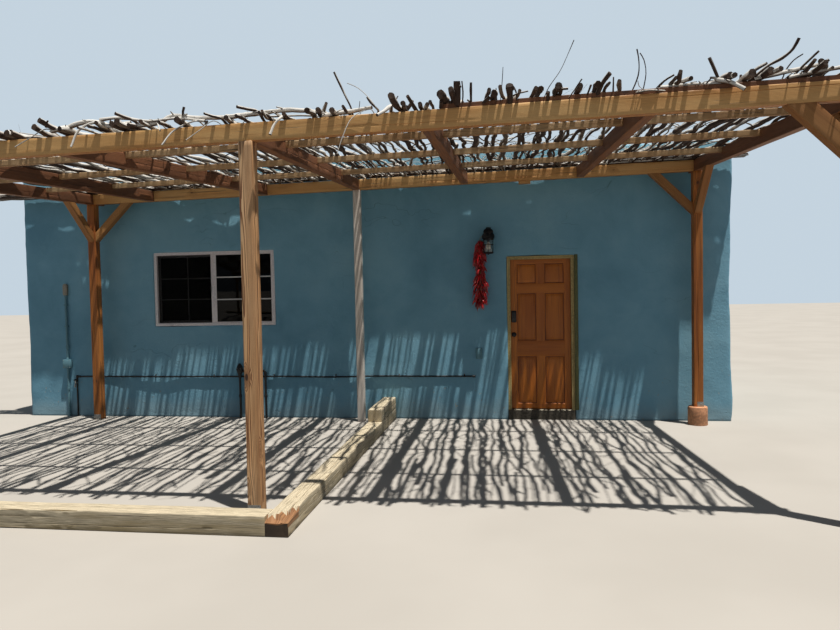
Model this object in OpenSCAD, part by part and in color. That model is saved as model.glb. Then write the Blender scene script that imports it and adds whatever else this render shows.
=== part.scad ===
// A one-room adobe house with a stick-roofed ramada along its front.
// The origin is on the ground in the middle of the house, X runs along the front,
// and the ramada stands on the -Y side.

/* [House] */
// Length of the house along its front
house_w = 10020; // [9200:10:12000]
// Depth of the house from front to back
house_d = 6400; // [4500:10:9000]
// Thickness of the adobe walls with their render
wall_t = 370; // [300:5:480]
// Height of the parapet above the ground
wall_h = 3630; // [3500:10:4200]
// Radius of the rounded outer corners
corner_r = 60; // [20:5:120]
// Height of the floor above the ground
floor_h = 130; // [80:5:200]
// How far the parapet stands above the roof
parapet_h = 270; // [220:10:500]
// Thickness of the flat roof
roof_t = 180; // [120:5:220]

/* [Roof drains] */
// Width of a drain trough
canale_w = 180; // [120:5:260]
// Depth of a drain trough outside
canale_h = 120; // [80:5:160]
// Board thickness of a drain trough
canale_t = 22; // [15:1:35]
// How far a trough stands out of the wall
canale_out = 420; // [200:10:700]

/* [Windows] */
// Left edge of the front window, from the left corner
window_x = 2050; // [1200:10:2600]
// Width of a window over its frame
window_w = 1830; // [1200:10:2200]
// Height of a window over its frame
window_h = 1070; // [800:10:1400]
// Sill of the windows above the ground
window_z = 1325; // [900:5:1600]
// Face width of the window frame
window_face = 42; // [25:1:70]
// Depth of the window frame
window_depth = 85; // [75:1:120]
// Setback of the window frame behind the wall face
window_set = 12; // [0:1:60]
// Face width of a window sash
sash_face = 34; // [20:1:50]
// Depth of a window sash
sash_depth = 26; // [18:1:30]
// Thickness of the glass
glass_t = 6; // [4:1:12]

/* [Door] */
// Left edge of the door leaf, from the left corner
door_x = 7190; // [5000:10:7600]
// Width of the door leaf
leaf_w = 813; // [700:1:1000]
// Height of the door leaf
leaf_h = 2032; // [1900:1:2150]
// Thickness of the door leaf
leaf_t = 44; // [35:1:60]
// Running gap round the door leaf
door_gap = 5; // [5:0.5:10]
// Gap under the door leaf
under_gap = 10; // [6:1:20]
// Thickness of the door jambs
jamb_t = 33; // [25:1:60]
// Depth of the stop in front of the leaf
stop_d = 45; // [20:1:80]
// How far the stop laps over the leaf and its gap
stop_lap = 12; // [8:1:15]
// Setback of the door frame behind the wall face
door_set = 10; // [0:1:60]
// Height of a hinge
hinge_h = 90; // [70:1:120]
// Radius of a hinge knuckle
knuckle_r = 7.5; // [6:0.5:10]
// Radius of a hinge pin
pin_r = 4; // [3:0.5:5]

/* [Ramada] */
// Left row of posts, from the left corner of the house
ramada_x = 1270; // [800:5:1600]
// Spacing of the posts in the left bay
bay_left = 3890; // [3000:5:4400]
// Spacing of the posts in the right bay
bay_right = 4380; // [3600:5:4800]
// Extra width of the ramada at its front right corner
front_splay = 175; // [0:5:300]
// Distance between the rear and the front row of posts
ramada_d = 3700; // [2800:10:4500]
// Distance from the rear row of posts to the wall
wall_gap = 215; // [160:5:400]
// Underside of the rear beam at the middle post
beam_z = 3145; // [2800:5:3200]
// Fall of the ramada towards its front, in degrees
fall = 3; // [0:0.1:6]
// Rise of the ramada towards the right, in degrees
rake = 0.8; // [0:0.1:2]
// Width of the beams and rafters
beam_w = 90; // [60:1:140]
// Height of the beams and rafters
beam_h = 140; // [100:1:190]
// How far the front beam runs past the side rafters
beam_over = 170; // [60:5:400]
// Width of the corner posts
post_w = 114; // [100:1:160]
// Width of the slender middle post at the wall
mid_post_w = 96; // [80:1:140]
// Width of the purlins
purlin_w = 42; // [35:1:60]
// Height of the purlins
purlin_h = 60; // [40:1:100]
// Number of purlins between the beams
purlin_n = 3; // [2:1:6]
// Spacing of the purlins from the rear beam on, as a share of an even spacing
purlin_spread = 1.05; // [1:0.01:1.08]
// Thickness of the knee braces
brace_w = 89; // [60:1:100]
// Depth of the rear knee braces
brace_h = 95; // [60:1:150]
// Depth of the front knee braces
front_brace_h = 138; // [60:1:150]
// Reach of a knee brace along its beam and down its post
brace_run = 540; // [400:5:650]
// Radius of the round post piers
pier_r = 120; // [105:5:160]
// Height of the round post piers
pier_h = 235; // [120:5:300]

/* [Stick roof] */
// Spacing of the sticks
stick_pitch = 80; // [52:1:120]
// Radius of the thinnest stick
stick_r_min = 10; // [8:1:16]
// Radius of the thickest stick
stick_r_max = 24; // [18:1:25]
// Least reach of a stick past the front beam
stick_over = 60; // [20:5:200]
// How much longer the longest stick reaches
stick_vary = 190; // [50:5:300]

/* [Wall fittings] */
// Middle of the wall lantern, from the door leaf's left edge
lantern_x = 275; // [200:5:420]
// Top of the wall lantern above the ground
lantern_z = 2600; // [2500:5:2700]
// Radius of the lantern's glass
lantern_r = 62; // [45:1:80]
// Distance from the lantern to the chile string beside it
ristra_x = 120; // [110:5:200]
// Top of the chile string above the ground
ristra_z = 2440; // [2300:5:2450]
// Length of the chile string
ristra_h = 920; // [500:5:1100]
// Radius of the chile string at its widest
ristra_r = 100; // [70:1:120]
// Conduit on the wall, from the left corner
conduit_x = 650; // [550:5:800]
// Radius of the conduit
conduit_r = 17; // [12:1:25]
// Top of the conduit above the ground
conduit_z = 1990; // [1600:5:2200]
// Height of the water pipe above the ground
pipe_z = 590; // [450:5:650]
// Radius of the water pipe
pipe_r = 11; // [8:0.5:16]

/* [Kerb] */
// Thickness of a kerb timber
kerb_w = 175; // [120:5:220]
// Height of a kerb timber
kerb_h = 150; // [100:5:200]
// Outer face of the side kerb, from the left corner
kerb_x = 5600; // [5400:5:6000]
// Outer face of the front kerb, from the middle of the front posts
kerb_out = 515; // [280:5:1000]
// Length of the upper timber beside the wall
kerb_step = 1000; // [400:10:1600]
// Depth of the chipped corner of the side kerb
chip_h = 50; // [10:5:80]

/* [Hidden] */
$fn = 32;

// How far a cutting shape runs past what it cuts
past = 20;
left_x = -house_w / 2;
front_y = -house_d / 2;
rear_y = house_d / 2;
room_w = house_w - 2 * wall_t;
room_d = house_d - 2 * wall_t;
roof_top = wall_h - parapet_h;
roof_z = roof_top - roof_t;
window_top = window_z + window_h;

// Door: the leaf's corner at rest and the rough opening round its frame
leaf_x = left_x + door_x;
leaf_y = front_y + door_set + stop_d + door_gap;
leaf_z = floor_h + under_gap;
rough_x = leaf_x - door_gap - jamb_t;
rough_w = leaf_w + 2 * (door_gap + jamb_t);
rough_top = leaf_z + leaf_h + door_gap + jamb_t;
jamb_d = stop_d + door_gap + leaf_t;
stile_w = 90;
mullion_w = 105;
// Rails and panels of the leaf from its foot up, as shares of its height
panel_rows = [[0.033, 0.32], [0.454, 0.32], [0.835, 0.135]];
panel_deep = 9;
panel_field = 34;
panel_rise = 6;
hinge_x = leaf_x + leaf_w + door_gap / 2;
hinge_y = leaf_y + leaf_t + knuckle_r + 0.5;
hinge_plate_t = 3;
hinge_share = 0.4;
hinge_clear = 0.1;
knuckle_gap = 0.5;
hinge_levels = [0.1, 0.5, 0.9];

// Ramada: its frame lies in a plane that falls to the front and rises to the right.
// In that plane x = 0 is the middle post, y = 0 the rear beam and z = 0 the underside.
mid_x = left_x + ramada_x + bay_left;
row_y = front_y - wall_gap;
frame_d = ramada_d / cos(fall);
span_left = bay_left / cos(rake);
span_right = bay_right / cos(rake);
front_right = span_right + front_splay;
kerb_y = wall_gap + ramada_d + kerb_out;
beam_joint = 2;
// Play between timbers that meet at an angle, and under the sticks
play = 0.05;
// Inner rafters: rear and front end, as shares of the left (-) or right (+) bay
inner_rafters = [[-0.76, -0.77], [-0.33, -0.42], [0.333, 0.325], [0.672, 0.70]];
function along(share, left, right) = share < 0 ? share * left : share * right;
rafter_ends = concat(
    [[-span_left, -span_left]],
    [for (r = [inner_rafters[0], inner_rafters[1]])
        [along(r[0], span_left, span_right), along(r[1], span_left, span_right)]],
    [[0, 0]],
    [for (r = [inner_rafters[2], inner_rafters[3]])
        [along(r[0], span_left, span_right), along(r[1], span_left, span_right)]],
    [[span_right, front_right]]);
// Middle of a rafter where it passes a given y of the frame
function rafter_at(ends, y) = ends[0] + (ends[1] - ends[0]) * (-y / frame_d);
// Height of the frame's underside above the ground at a place in the frame
function under_z(x, y) = beam_z + x * sin(rake) + y * sin(fall) * cos(rake);

stick_from = -span_left - beam_w / 2;
stick_to = span_right + beam_w / 2;
stick_n = floor((stick_to - stick_from) / stick_pitch);
stick_seed = 11;
// Where each kind of random draw starts
radius_draw = 1000;
sway_draw = 2000;
front_draw = 3000;
rear_draw = 4000;
stick_rear = wall_gap - beam_w / 2 - 30;
stick_sides = 6;

// Walls

module wall_piece(x0, x1, y0, z0, z1) {
    translate([x0, y0, z0]) cube([x1 - x0, wall_t, z1 - z0]);
}

// What rounds off an outer corner whose square edge is at the origin, with the wall in +x, +y
module corner_waste(height) {
    difference() {
        translate([-past, -past, -past])
            cube([corner_r + past, corner_r + past, height + 2 * past]);
        translate([corner_r, corner_r, -2 * past])
            cylinder(r = corner_r, h = height + 4 * past, $fn = 64);
    }
}

module corner_piece(x0, x1, y0, corner_x, corner_y, turn) {
    difference() {
        wall_piece(x0, x1, y0, 0, wall_h);
        translate([corner_x, corner_y, 0]) rotate([0, 0, turn]) corner_waste(wall_h);
        children();
    }
}

module adobe() { color([0.28, 0.47, 0.53]) children(); }

module floor_slab() {
    color([0.62, 0.58, 0.54])
        translate([-room_w / 2, -room_d / 2, 0]) cube([room_w, room_d, floor_h]);
}

module front_wall_left() {
    adobe() corner_piece(left_x, left_x + window_x, front_y, left_x, front_y, 0);
}

module front_wall_under_window() {
    adobe() wall_piece(left_x + window_x, left_x + window_x + window_w, front_y, 0, window_z);
}

module front_wall_over_window() {
    adobe() wall_piece(left_x + window_x, left_x + window_x + window_w,
                       front_y, window_top, wall_h);
}

module front_wall_middle() {
    adobe() wall_piece(left_x + window_x + window_w, rough_x, front_y, 0, wall_h);
}

module front_wall_over_door() {
    adobe() wall_piece(rough_x, rough_x + rough_w, front_y, rough_top, wall_h);
}

module front_wall_right() {
    adobe() corner_piece(rough_x + rough_w, -left_x, front_y, -left_x, front_y, 90);
}

module side_wall(x) {
    adobe() translate([x, -room_d / 2, 0]) cube([wall_t, room_d, wall_h]);
}

module left_wall() { side_wall(left_x); }
module right_wall() { side_wall(-left_x - wall_t); }

canale_x = house_w / 2 - window_x / 2;

module canale_hole(x) {
    translate([x - canale_w / 2, rear_y - wall_t - past, roof_top - canale_t])
        cube([canale_w, wall_t + 2 * past, canale_h]);
}

module rear_wall_left() {
    adobe() corner_piece(left_x, left_x + window_x, rear_y - wall_t, left_x, rear_y, 270)
        canale_hole(-canale_x);
}

module rear_wall_middle() {
    adobe() wall_piece(left_x + window_x + window_w, -left_x - window_x - window_w,
                       rear_y - wall_t, 0, wall_h);
}

module rear_wall_right() {
    adobe() corner_piece(-left_x - window_x, -left_x, rear_y - wall_t, -left_x, rear_y, 180)
        canale_hole(canale_x);
}

// Under and over both rear windows
module rear_wall_at_windows() {
    adobe() for (x = [left_x + window_x, -left_x - window_x - window_w]) {
        wall_piece(x, x + window_w, rear_y - wall_t, 0, window_z);
        wall_piece(x, x + window_w, rear_y - wall_t, window_top, wall_h);
    }
}

module roof_deck() {
    color([0.72, 0.70, 0.66])
        translate([-room_w / 2, -room_d / 2, roof_z]) cube([room_w, room_d, roof_t]);
}

module canales() {
    color([0.45, 0.32, 0.22]) for (x = [-canale_x, canale_x])
        translate([x - canale_w / 2, rear_y - wall_t, roof_top - canale_t])
            difference() {
                cube([canale_w, wall_t + canale_out, canale_h]);
                translate([canale_t, -past, canale_t])
                    cube([canale_w - 2 * canale_t, wall_t + canale_out + 2 * past, canale_h]);
            }
}

// Windows: a two-light slider, drawn with its outer side at y = 0 and its sill at z = 0

light_w = window_w - 2 * window_face;
light_h = window_h - 2 * window_face;
sash_w = (light_w + sash_face) / 2;
track_gap = 5;
track_set = 14;

module ring(w, h, depth, face) {
    difference() {
        cube([w, depth, h]);
        translate([face, -past, face]) cube([w - 2 * face, depth + 2 * past, h - 2 * face]);
    }
}

// Each sash's corner: the fixed one at the right on the outer track, the slider behind
sash_places = [
    [window_w - window_face - sash_w, track_set, window_face],
    [window_face, track_set + sash_depth + track_gap, window_face]
];

module slider_sashes() {
    for (p = sash_places) translate(p) ring(sash_w, light_h, sash_depth, sash_face);
}

module slider_glass() {
    for (p = sash_places) translate(p + [sash_face, (sash_depth - glass_t) / 2, sash_face])
        cube([sash_w - 2 * sash_face, glass_t, light_h - 2 * sash_face]);
}

module at_front_window() {
    translate([left_x + window_x, front_y + window_set, window_z]) children();
}

module at_rear_windows() {
    for (x = [left_x + window_x + window_w, -left_x - window_x])
        translate([x, rear_y - window_set, window_z]) rotate([0, 0, 180]) children();
}

module vinyl() { color([0.93, 0.90, 0.89]) children(); }
module pane() { color([0.16, 0.20, 0.22]) children(); }

module window_frame() {
    vinyl() at_front_window() ring(window_w, window_h, window_depth, window_face);
}

module window_sashes() { vinyl() at_front_window() slider_sashes(); }

module rear_window_frames() {
    vinyl() at_rear_windows() {
        ring(window_w, window_h, window_depth, window_face);
        slider_sashes();
    }
}

module window_glass() {
    pane() {
        at_front_window() slider_glass();
        at_rear_windows() slider_glass();
    }
}

// Door

module door_frame() {
    color([0.55, 0.50, 0.36])
        difference() {
            translate([rough_x, front_y + door_set, floor_h])
                cube([rough_w, jamb_d, rough_top - floor_h]);
            translate([leaf_x - door_gap, front_y + door_set + stop_d, floor_h - past])
                cube([leaf_w + 2 * door_gap, jamb_d, leaf_z + leaf_h + door_gap - floor_h + past]);
            translate([leaf_x - door_gap + stop_lap, front_y, floor_h - past])
                cube([leaf_w + 2 * (door_gap - stop_lap), jamb_d,
                      leaf_z + leaf_h + door_gap - stop_lap - floor_h + past]);
        }
}

module door_sill() {
    color([0.62, 0.58, 0.54])
        translate([rough_x, front_y, 0]) cube([rough_w, wall_t, floor_h]);
}

panel_w = (leaf_w - 2 * stile_w - mullion_w) / 2;

// One sunk panel with a raised field, cut from the face at y = 0
module sunk_panel(h) {
    difference() {
        translate([0, -past, 0]) cube([panel_w, past + panel_deep, h]);
        translate([panel_field, panel_deep - panel_rise, panel_field])
            cube([panel_w - 2 * panel_field, past, h - 2 * panel_field]);
    }
}

module door_leaf() {
    color([0.55, 0.26, 0.08]) translate([leaf_x, leaf_y, leaf_z])
        difference() {
            cube([leaf_w, leaf_t, leaf_h]);
            for (row = panel_rows, x = [stile_w, stile_w + panel_w + mullion_w]) {
                translate([x, 0, row[0] * leaf_h]) sunk_panel(row[1] * leaf_h);
                translate([x, leaf_t, row[0] * leaf_h])
                    mirror([0, 1, 0]) sunk_panel(row[1] * leaf_h);
            }
        }
}

lock_x = 50;
lock_z = 1255;
lock_size = [68, 26, 160];
knob_z = 1010;
knob_r = 27;
rose_r = 33;

module round_knob() {
    rotate([90, 0, 0]) rotate_extrude($fn = 40)
        polygon([[0, 0], [rose_r, 0], [rose_r, 5], [12, 9], [12, 30], [20, 34], [knob_r, 42],
                 [knob_r, 52], [20, 60], [0, 62]]);
}

module door_lockset() {
    color([0.06, 0.06, 0.07]) translate([leaf_x + lock_x, leaf_y, leaf_z]) {
        translate([-lock_size[0] / 2, -lock_size[1], lock_z - lock_size[2] / 2]) cube(lock_size);
        translate([0, 0, knob_z]) round_knob();
        translate([0, leaf_t, knob_z]) rotate([0, 0, 180]) round_knob();
        translate([0, leaf_t + 8, lock_z]) rotate([90, 0, 0]) cylinder(r = 30, h = 8);
        translate([-8, leaf_t + 8, lock_z - 20]) cube([16, 18, 40]);
    }
}

module at_hinges() {
    for (level = hinge_levels)
        translate([hinge_x, hinge_y, leaf_z + level * leaf_h - hinge_h / 2]) children();
}

hinge_face = -(hinge_y - leaf_y - leaf_t);
mid_h = hinge_h * hinge_share;
mid_z = (hinge_h - mid_h) / 2;

module door_hinge_leaves() {
    color([0.50, 0.48, 0.44]) at_hinges() {
        translate([-door_gap / 2 - 36, hinge_face, 0]) cube([36 - 6, hinge_plate_t, hinge_h]);
        difference() {
            union() {
                translate([-door_gap / 2 - 8, hinge_face, mid_z + knuckle_gap])
                    cube([8, hinge_plate_t, mid_h - 2 * knuckle_gap]);
                translate([0, 0, mid_z + knuckle_gap])
                    cylinder(r = knuckle_r, h = mid_h - 2 * knuckle_gap, $fn = 40);
            }
            translate([0, 0, -past])
                cylinder(r = pin_r + hinge_clear, h = hinge_h + 2 * past, $fn = 40);
        }
    }
}

module frame_hinges() {
    color([0.50, 0.48, 0.44]) at_hinges() {
        translate([knuckle_r + 1, hinge_face, 0])
            cube([door_gap / 2 + jamb_t - knuckle_r - 1, hinge_plate_t, hinge_h]);
        for (z = [0, mid_z + mid_h]) translate([0, 0, z]) {
            cylinder(r = knuckle_r, h = mid_z, $fn = 40);
            translate([door_gap / 2, hinge_face, 0])
                cube([knuckle_r + 2 - door_gap / 2, hinge_plate_t, mid_z]);
        }
        cylinder(r = pin_r, h = hinge_h, $fn = 40);
    }
}

// Ramada

module timber() { color([0.66, 0.45, 0.27]) children(); }

module in_frame() {
    translate([mid_x, row_y, beam_z]) rotate([fall, -rake, 0]) children();
}

// Everything above the underside of the beams, to cut posts and braces to length
module above_frame() {
    reach = house_w + ramada_d;
    in_frame() translate([-reach, -reach, 0]) cube([2 * reach, 2 * reach, reach]);
}

// A square post on the given level, cut off under the beams
module post(x, y, w, foot) {
    difference() {
        translate([mid_x + x - w / 2, y - w / 2, foot]) cube([w, w, wall_h + house_w * sin(rake)]);
        above_frame();
    }
}

front_row_y = row_y - ramada_d;
right_post_x = bay_right;
front_right_x = bay_right + front_splay;

module front_posts() {
    timber() {
        post(-bay_left, front_row_y, post_w, 0);
        post(0, front_row_y, post_w, 0);
        post(front_right_x, front_row_y, post_w, pier_h);
    }
}

module rear_posts() {
    timber() {
        post(-bay_left, row_y, post_w, 0);
        post(0, row_y, mid_post_w, 0);
        post(right_post_x, row_y, post_w, pier_h);
    }
}

module post_piers() {
    color([0.72, 0.50, 0.36]) for (p = [[right_post_x, row_y], [front_right_x, front_row_y]])
        translate([mid_x + p[0], p[1], 0]) cylinder(r = pier_r, h = pier_h, $fn = 48);
}

module front_beam() {
    timber() in_frame() for (ends = [[-span_left - beam_over, -beam_joint / 2],
                                     [beam_joint / 2, front_right + beam_over]])
        translate([ends[0], -frame_d - beam_w / 2, 0]) cube([ends[1] - ends[0], beam_w, beam_h]);
}

module rear_beam() {
    timber() in_frame() for (ends = [[-span_left + beam_w / 2, -beam_joint / 2],
                                     [beam_joint / 2, span_right - beam_w / 2]])
        translate([ends[0], -beam_w / 2, 0]) cube([ends[1] - ends[0], beam_w, beam_h]);
}

// A bar between two levels of y whose sides lean with the rafters beside it
module slanted(left_rear, right_rear, left_front, right_front, y_rear, y_front, z0, h) {
    translate([0, 0, z0]) linear_extrude(h)
        polygon([[left_rear, y_rear], [left_front, y_front],
                 [right_front, y_front], [right_rear, y_rear]]);
}

// The side rafters run square over the rear posts and back to the wall
module rafter_tail(x) {
    difference() {
        in_frame() translate([x - beam_w / 2, 0, 0]) cube([beam_w, 2 * wall_gap, beam_h]);
        translate([mid_x + x - 2 * beam_w, front_y, 0]) cube([4 * beam_w, house_d, 2 * wall_h]);
    }
}

module rafters() {
    y_front = -frame_d + beam_w / 2 + play;
    last = len(rafter_ends) - 1;
    timber() {
        in_frame() for (i = [0 : last]) {
            y_rear = i == 0 || i == last ? 0 : -beam_w / 2 - play;
            r = rafter_at(rafter_ends[i], y_rear);
            f = rafter_at(rafter_ends[i], y_front);
            slanted(r - beam_w / 2, r + beam_w / 2, f - beam_w / 2, f + beam_w / 2,
                    y_rear, y_front, 0, beam_h);
        }
        rafter_tail(-span_left);
        rafter_tail(span_right);
    }
}

module purlins() {
    timber() in_frame() for (i = [0 : len(rafter_ends) - 2], j = [1 : purlin_n]) {
        y = -frame_d * purlin_spread * j / (purlin_n + 1);
        yr = y + purlin_w / 2;
        yf = y - purlin_w / 2;
        a = rafter_ends[i];
        b = rafter_ends[i + 1];
        side = beam_w / 2 + play;
        slanted(rafter_at(a, yr) + side, rafter_at(b, yr) - side,
                rafter_at(a, yf) + side, rafter_at(b, yf) - side,
                yr, yf, beam_h - purlin_h, purlin_h);
    }
}

// A knee brace beside a post, rising along the given heading from the post's face
module knee_brace(x, y, heading, h) {
    long = 2 * (brace_run + h);
    face = post_w / 2;
    z = under_z(x, y - row_y);
    difference() {
        translate([mid_x + x, y, z]) rotate([0, 0, heading])
            translate([face + brace_run, 0, 0]) rotate([0, -45, 0])
                translate([-long, -brace_w / 2, 0]) cube([2 * long, brace_w, h]);
        above_frame();
        translate([mid_x + x, y, z]) rotate([0, 0, heading])
            translate([face - 4 * long, -long, -3 * long]) cube([4 * long, 2 * long, 6 * long]);
    }
}

skew = atan(front_splay / ramada_d);

module knee_braces() {
    timber() {
        knee_brace(-bay_left, row_y, 0, brace_h);
        knee_brace(-bay_left, row_y, -90, brace_h);
        knee_brace(right_post_x, row_y, 180, brace_h);
        knee_brace(right_post_x, row_y, -90, brace_h);
        knee_brace(-bay_left, front_row_y, 0, front_brace_h);
        knee_brace(-bay_left, front_row_y, 90, front_brace_h);
        knee_brace(front_right_x, front_row_y, 180, front_brace_h);
        knee_brace(front_right_x, front_row_y, 90, front_brace_h);
    }
}

// Stick roof: six-sided sticks lie flat on the beams and purlins, no two alike

function stick_draw(i, low, high, kind) = rands(low, high, 1, stick_seed + kind + 7 * i)[0];

module stick(i) {
    r = stick_draw(i, stick_r_min, stick_r_max, radius_draw);
    share = (i + 0.5) / stick_n;
    sway = (stick_pitch - 2 * stick_r_max) / 3;
    x = stick_from + share * (stick_to - stick_from) + stick_draw(i, -sway, sway, sway_draw);
    x_front = x + share * front_splay;
    y_front = -frame_d - beam_w / 2 - stick_over - stick_draw(i, 0, stick_vary, front_draw);
    y_rear = beam_w / 2 + stick_draw(i, 0, stick_rear - beam_w / 2, rear_draw);
    turn = atan((x_front - x) / (y_rear - y_front));
    translate([x, y_rear, beam_h + play + r * cos(180 / stick_sides)])
        rotate([90, 0, turn])
            cylinder(r = r, h = (y_rear - y_front) / cos(turn), $fn = stick_sides);
}

module latillas(first, last) {
    color([0.55, 0.47, 0.38]) in_frame()
        for (i = [round(first * stick_n) : round(last * stick_n) - 1]) stick(i);
}

module latillas_far_left() { latillas(0, 0.25); }
module latillas_left() { latillas(0.25, 0.5); }
module latillas_right() { latillas(0.5, 0.75); }
module latillas_far_right() { latillas(0.75, 1); }

// Wall fittings

lantern_back = 115;
lantern_h = 370;

module at_lantern() {
    translate([leaf_x - lantern_x, front_y - lantern_back, lantern_z]) children();
}

module wall_lantern() {
    color([0.07, 0.07, 0.07]) at_lantern() {
        // Domed cap, cage foot and the wall arm
        translate([0, 0, -90]) rotate_extrude($fn = 40)
            polygon([[0, -10], [lantern_r + 4, -10], [lantern_r + 14, 0], [lantern_r + 6, 22],
                     [lantern_r - 14, 48], [18, 62], [12, 76], [12, 90], [0, 90]]);
        translate([0, 0, -lantern_h]) cylinder(r = lantern_r + 4, h = 24, $fn = 40);
        for (turn = [45 : 90 : 315]) rotate([0, 0, turn])
            translate([lantern_r + 2, -3, -lantern_h + 20]) cube([6, 6, lantern_h - 110]);
        translate([-7, 0, -24]) cube([14, lantern_back - 12, 14]);
        translate([-32, lantern_back - 14, -150]) cube([64, 14, 160]);
    }
}

module lantern_glass() {
    color([0.75, 0.78, 0.76]) at_lantern() translate([0, 0, -lantern_h + 24])
        difference() {
            cylinder(r = lantern_r, h = lantern_h - 124, $fn = 40);
            translate([0, 0, 8]) cylinder(r = lantern_r - 4, h = lantern_h, $fn = 40);
        }
}

// Widest where it hangs clear below the lantern, slender beside it
module chile_ristra() {
    slim_r = min(ristra_r * 0.6, ristra_x - lantern_r - 14);
    foot_z = lantern_z - lantern_h - 45;
    body_h = foot_z - (ristra_z - ristra_h);
    color([0.48, 0.06, 0.05])
        translate([leaf_x - lantern_x - ristra_x, front_y - ristra_r - 1, ristra_z - ristra_h]) {
            rotate_extrude($fn = 24)
                polygon([[0, 0], [ristra_r * 0.45, 20], [ristra_r * 0.8, body_h * 0.3],
                         [ristra_r, body_h * 0.75], [slim_r, body_h], [slim_r, ristra_h - 120],
                         [6, ristra_h - 50], [6, ristra_h], [0, ristra_h]]);
            translate([0, ristra_r + 1, ristra_h - 8]) rotate([90, 0, 0])
                cylinder(r = 4, h = ristra_r + 4, $fn = 16);
        }
}

junction_size = [120, 60, 130];
junction_z = 720;
coupling_z = 1010;
coupling_r = conduit_r + 6;
fitting_size = [68, 44, 130];
fitting_r = 42;
// Middle of the fitting's rounded end, below the top of the conduit
fitting_drop = 60;

module conduit() {
    color([0.30, 0.52, 0.57]) translate([left_x + conduit_x, front_y - coupling_r, 0]) {
        cylinder(r = conduit_r, h = conduit_z - fitting_size[2], $fn = 24);
        translate([0, 0, coupling_z]) cylinder(r = coupling_r, h = 50, $fn = 24);
        // Rounded fitting that turns the conduit into the wall
        translate([-fitting_size[0] / 2, coupling_r - fitting_size[1],
                   conduit_z - fitting_drop - fitting_size[2]])
            cube(fitting_size);
        translate([0, coupling_r, conduit_z - fitting_drop]) rotate([90, 0, 0])
            cylinder(r = fitting_r, h = fitting_size[1], $fn = 32);
        translate([-junction_size[0] / 2, coupling_r - junction_size[1], junction_z])
            cube(junction_size);
    }
}

outlet_z = 905;
// Left edge of the outlet box, from the door leaf's left edge
outlet_x = 470;

module outlet_box() {
    color([0.34, 0.50, 0.52]) translate([leaf_x - outlet_x, front_y - 38, outlet_z - 75])
        cube([90, 38, 150]);
}

module water_pipe() {
    pipe_from = left_x + conduit_x + 130;
    pipe_to = leaf_x - outlet_x - 10;
    color([0.05, 0.05, 0.05]) translate([pipe_from, front_y - pipe_r - 1, 0]) {
        translate([0, 0, pipe_z]) rotate([0, 90, 0])
            cylinder(r = pipe_r, h = pipe_to - pipe_from, $fn = 16);
        cylinder(r = pipe_r, h = pipe_z + pipe_r, $fn = 16);
        translate([-30, -50, pipe_z - 160]) cube([60, 50 + pipe_r + 1, 150]);
    }
}

// Kerb

// Length of the chipped corner along the timber's two sides
split_near = 40;
split_far = 260;

module kerb_wood() { color([0.50, 0.46, 0.36]) children(); }

module kerb_front() {
    kerb_wood() translate([left_x, front_y - kerb_y, 0])
        cube([kerb_x - kerb_w - beam_joint / 4, kerb_w, kerb_h]);
}

module kerb_side() {
    kerb_wood() translate([left_x + kerb_x - kerb_w, front_y, 0]) {
        difference() {
            translate([0, -kerb_y, 0]) cube([kerb_w, kerb_y, kerb_h]);
            // The outer corner is split off, along a line askew to the timber
            translate([0, -kerb_y, kerb_h - chip_h]) linear_extrude(2 * chip_h)
                polygon([[-past, -past], [-past, split_near], [kerb_w * 0.5, split_near],
                         [kerb_w, split_far], [kerb_w + past, split_far],
                         [kerb_w + past, -past]]);
        }
        translate([0, -kerb_step, 0]) cube([kerb_w, kerb_step, 2 * kerb_h]);
    }
}

floor_slab();
front_wall_left();
front_wall_under_window();
front_wall_over_window();
front_wall_middle();
front_wall_over_door();
front_wall_right();
left_wall();
right_wall();
rear_wall_left();
rear_wall_middle();
rear_wall_right();
rear_wall_at_windows();
roof_deck();
canales();
window_frame();
window_sashes();
rear_window_frames();
window_glass();
door_frame();
door_sill();
door_leaf();
door_lockset();
door_hinge_leaves();
frame_hinges();
front_posts();
rear_posts();
post_piers();
front_beam();
rear_beam();
rafters();
purlins();
knee_braces();
latillas_far_left();
latillas_left();
latillas_right();
latillas_far_right();
wall_lantern();
lantern_glass();
chile_ristra();
conduit();
outlet_box();
water_pipe();
kerb_front();
kerb_side();
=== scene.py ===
"""The adobe house and its stick-roofed ramada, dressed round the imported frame. Metres."""
import math
import random

import bmesh
import bpy
import numpy as np
from mathutils import Matrix, Vector


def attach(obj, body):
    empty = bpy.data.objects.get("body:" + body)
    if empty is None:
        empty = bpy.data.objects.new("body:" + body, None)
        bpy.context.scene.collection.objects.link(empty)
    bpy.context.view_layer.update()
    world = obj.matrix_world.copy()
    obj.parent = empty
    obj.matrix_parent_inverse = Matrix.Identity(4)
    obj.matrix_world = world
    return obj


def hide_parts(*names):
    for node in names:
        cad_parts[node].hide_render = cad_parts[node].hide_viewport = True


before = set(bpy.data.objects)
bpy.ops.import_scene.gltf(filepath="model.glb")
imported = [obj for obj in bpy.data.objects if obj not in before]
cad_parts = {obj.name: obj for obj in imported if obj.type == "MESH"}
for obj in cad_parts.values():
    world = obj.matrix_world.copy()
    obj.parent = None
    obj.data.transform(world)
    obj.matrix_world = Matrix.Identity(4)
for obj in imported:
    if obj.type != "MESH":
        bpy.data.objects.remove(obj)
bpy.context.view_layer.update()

# ---------------------------------------------------------------- sizes, as in the CAD source
HOUSE_W, HOUSE_D, WALL_T, WALL_H = 10.02, 6.4, 0.37, 3.63
FLOOR_H = 0.13
LEFT, FRONT, REAR = -HOUSE_W / 2, -HOUSE_D / 2, HOUSE_D / 2
ROOF_TOP = WALL_H - 0.27
WIN_IN = 2.05
WIN_X, WIN_W, WIN_H, WIN_Z = LEFT + WIN_IN, 1.83, 1.07, 1.325
LEAF_W, LEAF_H, LEAF_T = 0.813, 2.032, 0.044
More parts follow.
